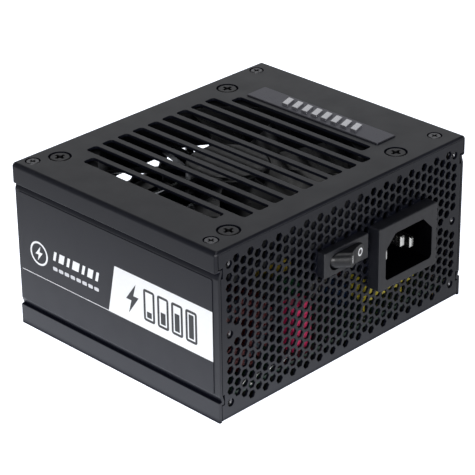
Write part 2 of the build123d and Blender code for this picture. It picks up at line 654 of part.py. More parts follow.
with BuildPart() as fan_frame:
    # round duct with a square flange at each end
    with BuildSketch(Plane.XY.offset(FAN_BOTTOM)):
        with Locations((FAN_X, 0)):
            RectangleRounded(FAN_SIZE, FAN_SIZE, 3.5)
            Circle(FAN_BORE_R, mode=Mode.SUBTRACT)
    extrude(amount=FAN_THICK)
    # corners relieved between the two flanges
    with BuildSketch(Plane.XY.offset(FAN_BOTTOM + FLANGE_T)):
        with Locations((FAN_X, 0)):
            Rectangle(FAN_SIZE + 2, FAN_SIZE + 2)
            Circle(FAN_BORE_R + 1.6, mode=Mode.SUBTRACT)
            for angle in (0, 90):
                Rectangle(FAN_SIZE + 4, 40, rotation=angle, mode=Mode.SUBTRACT)
    extrude(amount=FAN_THICK - 2 * FLANGE_T, mode=Mode.SUBTRACT)
    for x, y in fan_screw_xy:
        post(x, y, FAN_BOTTOM - 1, FAN_TOP + 1, 2.15, mode=Mode.SUBTRACT)
    # motor base held by four struts
    with BuildSketch(Plane.XY.offset(FAN_BOTTOM)):
        with Locations((FAN_X, 0)):
            Circle(HUB_R)
    extrude(amount=HUB_BASE_T)
    with BuildSketch(Plane.XY.offset(FAN_BOTTOM)):
        for angle in STRUT_ANGLES:
            middle_r = (HUB_R + FAN_BORE_R) / 2
            with Locations((FAN_X + middle_r * cos(radians(angle)), middle_r * sin(radians(angle)))):
                Rectangle(FAN_BORE_R - HUB_R + 1.6, 4.0, rotation=angle)
    extrude(amount=STRUT_T)
    # bearing tube
    post(FAN_X, 0, FAN_BOTTOM + HUB_BASE_T, FAN_TOP - 4.2, BEARING_R + 0.8)
    post(FAN_X, 0, FAN_BOTTOM + HUB_BASE_T, FAN_TOP, BEARING_R, mode=Mode.SUBTRACT)
fan_frame.part.label = "fan_frame"
export_step(fan_frame.part, "parts/fan_frame.step")

rotor_top = FAN_TOP - 0.8
rotor_bottom = FAN_BOTTOM + HUB_BASE_T + 1.4
BLADE_ROOT_R = HUB_R - 0.6
BLADE_CHORD_ROOT = 14.0
BLADE_CHORD_TIP = 21.0
BLADE_T = 1.3
BLADE_MID_Z = (rotor_top + rotor_bottom) / 2


def blade_section(chord, pitch, lean):
    """Four-cornered slice of a blade: chord along the sketch's x, turned up by the pitch angle."""
    dx = chord / 2 * cos(radians(pitch))
    dz = chord / 2 * sin(radians(pitch))
    return [
        (lean - dx, -dz - BLADE_T / 2), (lean + dx, dz - BLADE_T / 2),
        (lean + dx, dz + BLADE_T / 2), (lean - dx, -dz + BLADE_T / 2),
    ]


with BuildPart() as fan_blade:
    with BuildSketch(Plane(origin=(FAN_X + BLADE_ROOT_R, 0, BLADE_MID_Z), x_dir=(0, 1, 0), z_dir=(1, 0, 0))):
        with BuildLine():
            Polyline(*blade_section(BLADE_CHORD_ROOT, 36, 0), close=True)
        make_face()
    with BuildSketch(Plane(origin=(FAN_X + 30, 0, BLADE_MID_Z), x_dir=(0, 1, 0), z_dir=(1, 0, 0))):
        with BuildLine():
            Polyline(*blade_section(17.5, 28, 3.0), close=True)
        make_face()
    with BuildSketch(Plane(origin=(FAN_X + 43.0, 0, BLADE_MID_Z), x_dir=(0, 1, 0), z_dir=(1, 0, 0))):
        with BuildLine():
            Polyline(*blade_section(BLADE_CHORD_TIP, 22, 8.0), close=True)
        make_face()
    loft()
    post(FAN_X, 0, rotor_bottom - 2, rotor_top + 2, ROTOR_TIP_R, mode=Mode.INTERSECT)

with BuildPart() as fan_impeller:
    post(FAN_X, 0, rotor_bottom, rotor_top, HUB_R)
    fillet(fan_impeller.edges().group_by(Axis.Z)[-1], 1.5)
    with Locations((FAN_X, 0, 0)):
        with PolarLocations(0, BLADE_COUNT):
            add(fan_blade.part.moved(Location((-FAN_X, 0, 0))))
    # hollow cup for the motor, with a boss that holds the shaft
    post(FAN_X, 0, rotor_bottom - 3, rotor_top - 1.4, HUB_R - 1.4, mode=Mode.SUBTRACT)
    post(FAN_X, 0, rotor_top - 2.4, rotor_top - 1.4, 2.8)
    post(FAN_X, 0, rotor_top - 3, rotor_top - 0.5, SHAFT_R, mode=Mode.SUBTRACT)
fan_impeller.part.label = "fan_impeller"
export_step(fan_impeller.part, "parts/fan_impeller.step")

yoke_r = HUB_R - 1.45
with BuildPart() as fan_yoke_cup:
    post(FAN_X, 0, rotor_bottom + 0.2, rotor_top - 2.45, yoke_r)
    post(FAN_X, 0, rotor_bottom - 1, rotor_top - 3.0, yoke_r - 0.8, mode=Mode.SUBTRACT)
    post(FAN_X, 0, rotor_top - 4, rotor_top, 4.2, mode=Mode.SUBTRACT)
fan_yoke_cup.part.label = "fan_yoke_cup"
export_step(fan_yoke_cup.part, "parts/fan_yoke_cup.step")

with BuildPart() as fan_magnet_ring:
    post(FAN_X, 0, rotor_bottom + 0.8, rotor_top - 3.2, yoke_r - 0.82)
    post(FAN_X, 0, rotor_bottom, rotor_top, yoke_r - 2.3, mode=Mode.SUBTRACT)
fan_magnet_ring.part.label = "fan_magnet_ring"
export_step(fan_magnet_ring.part, "parts/fan_magnet_ring.step")

with BuildPart() as fan_shaft:
    post(FAN_X, 0, FAN_BOTTOM + HUB_BASE_T + 0.4, rotor_top - 0.55, SHAFT_R - 0.01)
fan_shaft.part.label = "fan_shaft"
export_step(fan_shaft.part, "parts/fan_shaft.step")

with BuildPart() as fan_bearing_sleeve:
    post(FAN_X, 0, FAN_BOTTOM + HUB_BASE_T + 0.6, FAN_TOP - 4.3, BEARING_R - 0.02)
    post(FAN_X, 0, FAN_BOTTOM, FAN_TOP, SHAFT_R + 0.03, mode=Mode.SUBTRACT)
fan_bearing_sleeve.part.label = "fan_bearing_sleeve"
export_step(fan_bearing_sleeve.part, "parts/fan_bearing_sleeve.step")

STATOR_Z0 = FAN_BOTTOM + 5.0
STATOR_Z1 = STATOR_Z0 + 4.2
POLE_COUNT = 4
stator_r = yoke_r - 2.3 - 0.5
with BuildPart() as fan_stator_core:
    with BuildSketch(Plane.XY.offset(STATOR_Z0)):
        with Locations((FAN_X, 0)):
            Circle(5.4)
            with PolarLocations(7.4, POLE_COUNT):
                Rectangle(5.0, 3.0)
        with BuildLine():
            for quarter in range(POLE_COUNT):
                start = quarter * 90 - 36
                shoe_out = CenterArc((FAN_X, 0), stator_r, start, 72)
                shoe_in = CenterArc((FAN_X, 0), stator_r - 1.2, start, 72)
                Line(shoe_out @ 0, shoe_in @ 0)
                Line(shoe_out @ 1, shoe_in @ 1)
        make_face()
        with Locations((FAN_X, 0)):
            Circle(BEARING_R + 0.85, mode=Mode.SUBTRACT)
    extrude(amount=STATOR_Z1 - STATOR_Z0)
fan_stator_core.part.label = "fan_stator_core"
export_step(fan_stator_core.part, "parts/fan_stator_core.step")

with BuildPart() as fan_stator_coils:
    for quarter in range(POLE_COUNT):
        pole = Plane(origin=(FAN_X, 0, (STATOR_Z0 + STATOR_Z1) / 2)).rotated((0, 0, quarter * 90))
        coil_plane = Plane(origin=pole.from_local_coords((5.7, 0, 0)), x_dir=pole.y_dir, z_dir=pole.x_dir)
        with BuildSketch(coil_plane):
            RectangleRounded(5.2, STATOR_Z1 - STATOR_Z0 + 2.2, 1.0)
            Rectangle(3.05, STATOR_Z1 - STATOR_Z0 + 0.05, mode=Mode.SUBTRACT)
        extrude(amount=2.5)
fan_stator_coils.part.label = "fan_stator_coils"
export_step(fan_stator_coils.part, "parts/fan_stator_coils.step")

with BuildPart() as fan_circuit_board:
    post(FAN_X, 0, FAN_BOTTOM + HUB_BASE_T + 0.1, FAN_BOTTOM + HUB_BASE_T + 0.9, HUB_R - 2.4)
    block(FAN_X + 5.2, FAN_X + 8.4, -2.0, 2.0, FAN_BOTTOM + HUB_BASE_T + 0.9, FAN_BOTTOM + HUB_BASE_T + 1.9)
    post(FAN_X, 0, FAN_BOTTOM, FAN_TOP, BEARING_R + 0.9, mode=Mode.SUBTRACT)
fan_circuit_board.part.label = "fan_circuit_board"
export_step(fan_circuit_board.part, "parts/fan_circuit_board.step")

# two-wire lead from the frame's edge down to a plug on the main board
FAN_LEAD_Y = 27.0
fan_edge_x = FAN_X + FAN_SIZE / 2 + FIT
with BuildPart() as fan_lead:
    for y in (FAN_LEAD_Y - 0.8, FAN_LEAD_Y + 0.8):
        with BuildLine() as wire_path:
            Polyline((fan_edge_x, y, FAN_BOTTOM + 1.6), (fan_edge_x + 5, y, FAN_BOTTOM + 1.6),
                     (fan_edge_x + 5, y, BOARD_TOP + 5.9))
            fillet(wire_path.vertices().group_by(Axis.X)[-1].sort_by(Axis.Z)[-1], 3.0)
        with BuildSketch(Plane(origin=(fan_edge_x, y, FAN_BOTTOM + 1.6), x_dir=(0, 1, 0), z_dir=(1, 0, 0))):
            Circle(0.75)
        sweep(path=wire_path.wire())
    block(fan_edge_x + 2.4, fan_edge_x + 7.6, FAN_LEAD_Y - 3.2, FAN_LEAD_Y + 3.2, BOARD_TOP + 0.05, BOARD_TOP + 6)
fan_lead.part.label = "fan_lead"
export_step(fan_lead.part, "parts/fan_lead.step")


# ================================================================ BOARDS
with BuildPart() as main_board:
    block(-BOARD_X, BOARD_X, BOARD_Y0, BOARD_Y1, BOARD_Z, BOARD_TOP)
    for x, y in STANDOFF_XY:
        post(x, y, BOARD_Z - 1, BOARD_TOP + 1, 1.35, mode=Mode.SUBTRACT)
    fillet(main_board.edges().filter_by(Axis.Z).filter_by(lambda edge: edge.length < 2)
           .filter_by(lambda edge: abs(abs(edge.center().X) - BOARD_X) < 0.01), 1.5)
main_board.part.label = "main_board"
export_step(main_board.part, "parts/main_board.step")

with BuildPart() as board_standoffs:
    for x, y in STANDOFF_XY:
        post(x, y, SHEET, BOARD_Z, 2.4)
        post(x, y, SHEET, BOARD_Z, 1.3, mode=Mode.SUBTRACT)
board_standoffs.part.label = "board_standoffs"
export_step(board_standoffs.part, "parts/board_standoffs.step")

with BuildPart() as board_screws:
    for x, y in STANDOFF_XY:
        post(x, y, BOARD_TOP, BOARD_TOP + 1.8, 2.5)
        post(x, y, BOARD_Z - 3.5, BOARD_TOP, 1.25)
    fillet(board_screws.faces().filter_by(Axis.Z).group_by(Axis.Z)[-1].edges(), 0.7)
    cross_recess(BOARD_TOP + 1.8, 1.5, 0.5, 1.0, STANDOFF_XY)
board_screws.part.label = "board_screws"
export_step(board_screws.part, "parts/board_screws.step")

with BuildPart() as insulation_sheet:
    block(-58, 58, -48.5, 36, SHEET + 0.05, SHEET + 0.35)
    for x, y in STANDOFF_XY:
        post(x, y, 0, 3, 3.0, mode=Mode.SUBTRACT)
insulation_sheet.part.label = "insulation_sheet"
export_step(insulation_sheet.part, "parts/insulation_sheet.step")

CONNECTOR_BOARD_X = 58.5
CONNECTOR_BOARD_TOP = 36.6
with BuildPart() as connector_board:
    block(-CONNECTOR_BOARD_X, CONNECTOR_BOARD_X, CONNECTOR_BOARD_Y, SOCKET_Y0, SHEET + 1.0, CONNECTOR_BOARD_TOP)
connector_board.part.label = "connector_board"
export_step(connector_board.part, "parts/connector_board.step")


def well_centres(sockets, rows=2):
    """Centres of every contact well, as pairs of X and Z."""
    centres = []
    for x, z, columns in sockets:
        for column in range(columns):
            for row in range(rows):
                centres.append((x + (column - (columns - 1) / 2) * WELL_PITCH, z + (row - 0.5) * WELL_PITCH))
    return centres


WELL_DEEP = 10.0


def socket_group(sockets):
    """Housings with a latch ledge on top and a grid of square contact wells."""
    for x, z, columns in sockets:
        width, height = socket_size(columns)
        block(x - width / 2, x + width / 2, SOCKET_Y0, SOCKET_Y1, z - height / 2, z + height / 2)
        block(x - LATCH_W / 2, x + LATCH_W / 2, SOCKET_Y0 + 4, SOCKET_Y1, z + height / 2, z + height / 2 + LATCH_H)
    for x, z in well_centres(sockets):
        half = WELL_SIZE / 2
        block(x - half, x + half, SOCKET_Y1 - WELL_DEEP, SOCKET_Y1 + 1, z - half, z + half, mode=Mode.SUBTRACT)


with BuildPart() as motherboard_sockets:
    socket_group(MOTHERBOARD_SOCKETS)
motherboard_sockets.part.label = "motherboard_sockets"
export_step(motherboard_sockets.part, "parts/motherboard_sockets.step")

with BuildPart() as cpu_graphics_sockets:
    socket_group(CPU_SOCKETS)
cpu_graphics_sockets.part.label = "cpu_graphics_sockets"
export_step(cpu_graphics_sockets.part, "parts/cpu_graphics_sockets.step")

with BuildPart() as peripheral_sockets:
    socket_group(PERIPHERAL_SOCKETS)
peripheral_sockets.part.label = "peripheral_sockets"
export_step(peripheral_sockets.part, "parts/peripheral_sockets.step")

with BuildPart() as socket_pins:
    with BuildSketch(Plane.XZ.offset(-(SOCKET_Y1 - WELL_DEEP))):
        with Locations(*well_centres(ALL_SOCKETS)):
            Rectangle(1.14, 1.14)
    extrude(amount=-(WELL_DEEP - 2.5))
socket_pins.part.label = "socket_pins"
export_step(socket_pins.part, "parts/socket_pins.step")


# ================================================================ INPUT FILTER
X_CAP_Z = BOARD_TOP + 6.3
with BuildPart() as x_capacitor:
    block(14.5, 40.5, -46.5, -38.5, X_CAP_Z, X_CAP_Z + 9.3)
    fillet(x_capacitor.edges().group_by(Axis.Z)[1:], 0.8)
    # formed leads hold the box clear of the board
    for x in (17.5, 37.5):
        post(x, -42.5, BOARD_TOP, X_CAP_Z, 0.5)
x_capacitor.part.label = "x_capacitor"
export_step(x_capacitor.part, "parts/x_capacitor.step")

with BuildPart() as y_capacitors:
    for y in (-35.2, -31.6):
        rod_y(14.0, y - 1.3, y + 1.3, BOARD_TOP + 6.0, 4.0)
        for x in (11.5, 16.5):
            post(x, y, BOARD_TOP, BOARD_TOP + 4.5, 0.4)
y_capacitors.part.label = "y_capacitors"
export_step(y_capacitors.part, "parts/y_capacitors.step")

with BuildPart() as input_fuse:
    rod_x(12.0, 32.0, -24.0, BOARD_TOP + 4.0, 2.6)
    for x0, x1 in ((11.2, 15.2), (28.8, 32.8)):
        rod_x(x0, x1, -24.0, BOARD_TOP + 4.0, 3.0)
        post((x0 + x1) / 2, -24.0, BOARD_TOP, BOARD_TOP + 4.0, 0.5)
input_fuse.part.label = "input_fuse"
export_step(input_fuse.part, "parts/input_fuse.step")

# toroid chokes lying on their rims: centre, outer and inner radius, half width
EMI_CHOKES = [(50.0, -33.0, 20.5), (48.5, 4.0, 20.5)]
EMI_OUT_R = 10.5
EMI_IN_R = 5.6
EMI_HALF_W = 4.0
TURN_WIRE_R = 0.7


with BuildPart() as emi_choke_cores:
    for x, y, z in EMI_CHOKES:
        rod_x(x - EMI_HALF_W, x + EMI_HALF_W, y, z, EMI_OUT_R)
        rod_x(x - EMI_HALF_W - 1, x + EMI_HALF_W + 1, y, z, EMI_IN_R, mode=Mode.SUBTRACT)
emi_choke_cores.part.label = "emi_choke_cores"
export_step(emi_choke_cores.part, "parts/emi_choke_cores.step")

# one wire turn round a ring core whose axis is Z, at the origin
with BuildPart() as emi_turn:
    gap = TURN_WIRE_R + 0.1
    with BuildSketch(Plane.XZ):
        with Locations(((EMI_OUT_R + EMI_IN_R) / 2, 0)):
            RectangleRounded(EMI_OUT_R - EMI_IN_R + 2 * gap + 2 * TURN_WIRE_R,
                             2 * (EMI_HALF_W + gap + TURN_WIRE_R), 1.0)
            RectangleRounded(EMI_OUT_R - EMI_IN_R + 0.2, 2 * (EMI_HALF_W + 0.1), 0.1, mode=Mode.SUBTRACT)
    extrude(amount=TURN_WIRE_R, both=True)

TURNS_PER_SIDE = 5
TURN_STEP = 24
turn_angles = [side + (turn - (TURNS_PER_SIDE - 1) / 2) * TURN_STEP
               for side in (90, 270) for turn in range(TURNS_PER_SIDE)]
with BuildPart() as emi_choke_windings:
    for x, y, z in EMI_CHOKES:
        ring_plane = Plane(origin=(x, y, z), x_dir=(0, 0, 1), z_dir=(1, 0, 0))
        for angle in turn_angles:
            add(emi_turn.part.moved(ring_plane.location * Rotation(0, 0, angle)))
emi_choke_windings.part.label = "emi_choke_windings"
export_step(emi_choke_windings.part, "parts/emi_choke_windings.step")

with BuildPart() as bridge_rectifier:
    block(34.0, 56.0, -13.5, -10.0, BOARD_TOP + 4, BOARD_TOP + 22)
    for x in (37.0, 42.5, 47.5, 53.0):
        block(x - 0.6, x + 0.6, -12.1, -11.4, BOARD_TOP, BOARD_TOP + 4)
bridge_rectifier.part.label = "bridge_rectifier"
export_step(bridge_rectifier.part, "parts/bridge_rectifier.step")

with BuildPart() as inrush_relay:
    block(-24.0, -9.5, -33.0, -15.0, BOARD_TOP + 0.3, BOARD_TOP + 15)
    fillet(inrush_relay.edges().group_by(Axis.Z)[-1], 0.8)
inrush_relay.part.label = "inrush_relay"
export_step(inrush_relay.part, "parts/inrush_relay.step")

with BuildPart() as inrush_thermistor:
    rod_y(-1.5, -24.0, -20.0, BOARD_TOP + 8.0, 6.0)
    for x in (-4.5, 1.5):
        post(x, -22.0, BOARD_TOP, BOARD_TOP + 4.0, 0.4)
inrush_thermistor.part.label = "inrush_thermistor"
export_step(inrush_thermistor.part, "parts/inrush_thermistor.step")

with BuildPart() as pfc_film_capacitor:
    block(-20.8, -11.6, -45.0, -38.5, BOARD_TOP + 0.05, BOARD_TOP + 18)
    fillet(pfc_film_capacitor.edges().group_by(Axis.Z)[1:], 1.0)
pfc_film_capacitor.part.label = "pfc_film_capacitor"
export_step(pfc_film_capacitor.part, "parts/pfc_film_capacitor.step")


# ================================================================ PRIMARY SIDE
PFC_X = -43.5
PFC_Y = -36.5
PFC_Z = 24.0
PFC_OUT_R = 13.0
PFC_IN_R = 6.5
PFC_HALF_W = 5.5
with BuildPart() as pfc_choke_core:
    rod_y(PFC_X, PFC_Y - PFC_HALF_W, PFC_Y + PFC_HALF_W, PFC_Z, PFC_OUT_R)
    rod_y(PFC_X, PFC_Y - 10, PFC_Y + 10, PFC_Z, PFC_IN_R, mode=Mode.SUBTRACT)
pfc_choke_core.part.label = "pfc_choke_core"
export_step(pfc_choke_core.part, "parts/pfc_choke_core.step")

with BuildPart() as pfc_turn:
    with BuildSketch(Plane.XZ):
        with Locations(((PFC_OUT_R + PFC_IN_R) / 2, 0)):
            RectangleRounded(PFC_OUT_R - PFC_IN_R + 3.4, 2 * PFC_HALF_W + 3.4, 1.4)
            RectangleRounded(PFC_OUT_R - PFC_IN_R + 0.2, 2 * PFC_HALF_W + 0.2, 0.1, mode=Mode.SUBTRACT)
    extrude(amount=0.75, both=True)

PFC_TURNS = 19
with BuildPart() as pfc_choke_winding:
    ring_plane = Plane(origin=(PFC_X, PFC_Y, PFC_Z), x_dir=(1, 0, 0), z_dir=(0, 1, 0))
    for turn in range(PFC_TURNS):
        add(pfc_turn.part.moved(ring_plane.location * Rotation(0, 0, turn * 360 / PFC_TURNS)))
pfc_choke_winding.part.label = "pfc_choke_winding"
export_step(pfc_choke_winding.part, "parts/pfc_choke_winding.step")

with BuildPart() as bulk_capacitor:
    post(-43.0, -8.0, BOARD_TOP + 0.2, BOARD_TOP + 37.5, 15.0)
    fillet(bulk_capacitor.edges(), 1.0)
    # safety vent scored in the top
    for angle in (0, 60, 120):
        with Locations(Location((-43.0, -8.0, BOARD_TOP + 37.5), (0, 0, angle))):
            Box(12, 0.4, 0.6, mode=Mode.SUBTRACT)
bulk_capacitor.part.label = "bulk_capacitor"
export_step(bulk_capacitor.part, "parts/bulk_capacitor.step")

FIN_TOP = 43.0
with BuildPart() as primary_heatsink:
    block(-25.0, -22.5, -12.0, 14.0, BOARD_TOP + 0.1, FIN_TOP)
    for fin in range(4):
        z = FIN_TOP - 1.2 - fin * 4.0
        block(-22.5, -13.0, -12.0, 14.0, z, z + 1.2)
primary_heatsink.part.label = "primary_heatsink"
export_step(primary_heatsink.part, "parts/primary_heatsink.step")

with BuildPart() as primary_transistors:
    for y in (-6.5, 8.5):
        block(-22.4, -18.0, y - 5.0, y + 5.0, BOARD_TOP + 4, BOARD_TOP + 19)
        for step in (-1, 0, 1):
            block(-20.6, -19.8, y + step * 2.54 - 0.4, y + step * 2.54 + 0.4, BOARD_TOP, BOARD_TOP + 4)
primary_transistors.part.label = "primary_transistors"
export_step(primary_transistors.part, "parts/primary_transistors.step")


# ================================================================ TRANSFORMERS AND OUTPUT
TF_X0, TF_X1 = -8.0, 22.0
TF_Y0, TF_Y1 = -14.0, 16.0
TF_Z0, TF_Z1 = BOARD_TOP + 1.0, BOARD_TOP + 31.0
with BuildPart() as transformer_core:
    block(TF_X0, TF_X1, -5.0, 7.0, TF_Z0, TF_Z1)
    for x0, x1 in ((TF_X0 + 4.5, 1.5), (12.5, TF_X1 - 4.5)):
        block(x0, x1, -8, 10, TF_Z0 + 5.5, TF_Z1 - 5.5, mode=Mode.SUBTRACT)
transformer_core.part.label = "transformer_core"
export_step(transformer_core.part, "parts/transformer_core.step")

with BuildPart() as transformer_winding:
    with BuildSketch(Plane.XY.offset(TF_Z0 + 5.6)):
        with Locations(((TF_X0 + TF_X1) / 2, 1.0)):
            RectangleRounded(20.6, 22.0, 4.0)
            Rectangle(11.1, 12.1, mode=Mode.SUBTRACT)
    extrude(amount=TF_Z1 - TF_Z0 - 11.2)
transformer_winding.part.label = "transformer_winding"
export_step(transformer_winding.part, "parts/transformer_winding.step")

with BuildPart() as standby_transformer:
    block(-56.0, -40.0, 14.0, 27.0, BOARD_TOP + 0.2, BOARD_TOP + 15)
    for x0, x1 in ((-56.5, -53.0), (-43.0, -39.5)):
        block(x0, x1, 13.0, 28.0, BOARD_TOP + 3, BOARD_TOP + 12)
standby_transformer.part.label = "standby_transformer"
export_step(standby_transformer.part, "parts/standby_transformer.step")

with BuildPart() as secondary_heatsink:
    block(26.0, 28.5, -8.0, 18.0, BOARD_TOP + 0.1, FIN_TOP)
    for fin in range(5):
        z = FIN_TOP - 1.2 - fin * 4.0
        block(28.5, 36.0, -8.0, 18.0, z, z + 1.2)
secondary_heatsink.part.label = "secondary_heatsink"
export_step(secondary_heatsink.part, "parts/secondary_heatsink.step")

OUTPUT_CAP_R = 3.7
with BuildPart() as output_capacitors:
    for column in range(5):
        for y in (24.0, 32.0):
            post(-8.0 + column * 8.5, y, BOARD_TOP + 0.1, BOARD_TOP + 16, OUTPUT_CAP_R)
    fillet(output_capacitors.faces().filter_by(Axis.Z).group_by(Axis.Z)[-1].edges(), 0.6)
output_capacitors.part.label = "output_capacitors"
export_step(output_capacitors.part, "parts/output_capacitors.step")

with BuildPart() as converter_boards:
    for x in (-28.0, -19.5):
        block(x - 0.8, x + 0.8, 18.0, 35.5, BOARD_TOP + 0.1, BOARD_TOP + 30)
converter_boards.part.label = "converter_boards"
export_step(converter_boards.part, "parts/converter_boards.step")

with BuildPart() as converter_inductors:
    for x in (-28.0, -19.5):
        for y in (22.5, 31.0):
            block(x + 0.85, x + 6.0, y - 3.5, y + 3.5, BOARD_TOP + 8, BOARD_TOP + 15)
            block(x + 0.85, x + 2.6, y - 2.5, y + 2.5, BOARD_TOP + 19, BOARD_TOP + 24)
converter_inductors.part.label = "converter_inductors"
export_step(converter_inductors.part, "parts/converter_inductors.step")

with BuildPart() as control_board:
    block(38.0, 57.0, 19.0, 20.6, BOARD_TOP + 0.1, BOARD_TOP + 26)
    block(41.0, 49.0, 20.6, 22.0, BOARD_TOP + 12, BOARD_TOP + 18)
control_board.part.label = "control_board"
export_step(control_board.part, "parts/control_board.step")
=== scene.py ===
"""Looks for a compact modular power supply unit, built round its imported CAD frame.

Sizes of the object are millimetres in the CAD frame (+Z up, -Y is the face with the mains inlet)
and are turned into metres by MM where a mesh is made.
"""
import json
import math

import bmesh
import bpy
from mathutils import Matrix, Vector


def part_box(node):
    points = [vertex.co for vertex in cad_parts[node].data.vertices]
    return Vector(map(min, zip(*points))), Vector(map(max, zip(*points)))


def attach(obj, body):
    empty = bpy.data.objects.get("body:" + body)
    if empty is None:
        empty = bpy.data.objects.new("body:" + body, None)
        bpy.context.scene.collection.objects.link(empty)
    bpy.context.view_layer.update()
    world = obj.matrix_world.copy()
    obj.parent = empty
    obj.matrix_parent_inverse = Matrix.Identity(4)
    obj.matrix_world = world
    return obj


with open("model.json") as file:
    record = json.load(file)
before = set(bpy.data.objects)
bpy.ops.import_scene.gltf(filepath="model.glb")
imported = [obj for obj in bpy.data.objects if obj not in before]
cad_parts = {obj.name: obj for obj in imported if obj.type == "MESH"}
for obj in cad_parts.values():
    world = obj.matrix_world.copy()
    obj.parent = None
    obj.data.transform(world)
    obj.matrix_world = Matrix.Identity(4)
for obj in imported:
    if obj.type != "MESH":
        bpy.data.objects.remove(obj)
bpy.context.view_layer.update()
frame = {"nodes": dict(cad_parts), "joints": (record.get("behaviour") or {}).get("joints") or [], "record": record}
NODES = frame["nodes"]
MM = 0.001


# ---------------------------------------------------------------- places taken from the frame
def corners_mm(node):
    """Lowest and highest corner of a CAD node, in millimetres."""
    low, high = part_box(node)
    return low / MM, high / MM


CASE_FRONT = corners_mm("top_cover")[0].y
LABEL_LOW, LABEL_HIGH = corners_mm("side_label_left")
RIGHT_LOW, RIGHT_HIGH = corners_mm("side_label_right")
RATING_LOW, RATING_HIGH = corners_mm("rating_label")
INLET_LOW, INLET_HIGH = corners_mm("inlet_housing")
BOARD_LOW, BOARD_HIGH = corners_mm("main_board")
BULK_TOP = corners_mm("bulk_capacitor")[1].z
JOINTS = {joint["name"]: joint for joint in frame["joints"]}
MOUNTS = {mount["name"]: mount for mount in frame["record"]["mounts"]}


# ---------------------------------------------------------------- shader helpers
MIX_FIRST = 6               # a colour mix node's sockets, by number because their names repeat
MIX_SECOND = 7
MIX_RESULT = 2
NOISE_SPAN = (0.3, 0.7)     # the part of its range that a noise mostly fills


def feed(links, socket, value):
    """Gives a socket an output, a colour or a number."""
    if isinstance(value, bpy.types.NodeSocket):
        links.new(value, socket)
    elif isinstance(value, tuple):
        socket.default_value = (*value, 1)
    else:
        socket.default_value = value


def math_node(tree, operation, a, b=0.0):
    """A math node over two numbers or outputs."""
    node = tree.nodes.new("ShaderNodeMath")
    node.operation = operation
    for socket, value in zip(node.inputs, (a, b)):
        feed(tree.links, socket, value)
    return node.outputs[0]


def range_node(tree, value, source, target, interpolation="LINEAR"):
    """Maps an output from the range source to the range target."""
    node = tree.nodes.new("ShaderNodeMapRange")
    node.interpolation_type = interpolation
    tree.links.new(value, node.inputs["Value"])
    for key, number in zip(("From Min", "From Max", "To Min", "To Max"), (*source, *target)):
        node.inputs[key].default_value = number
    return node.outputs[0]


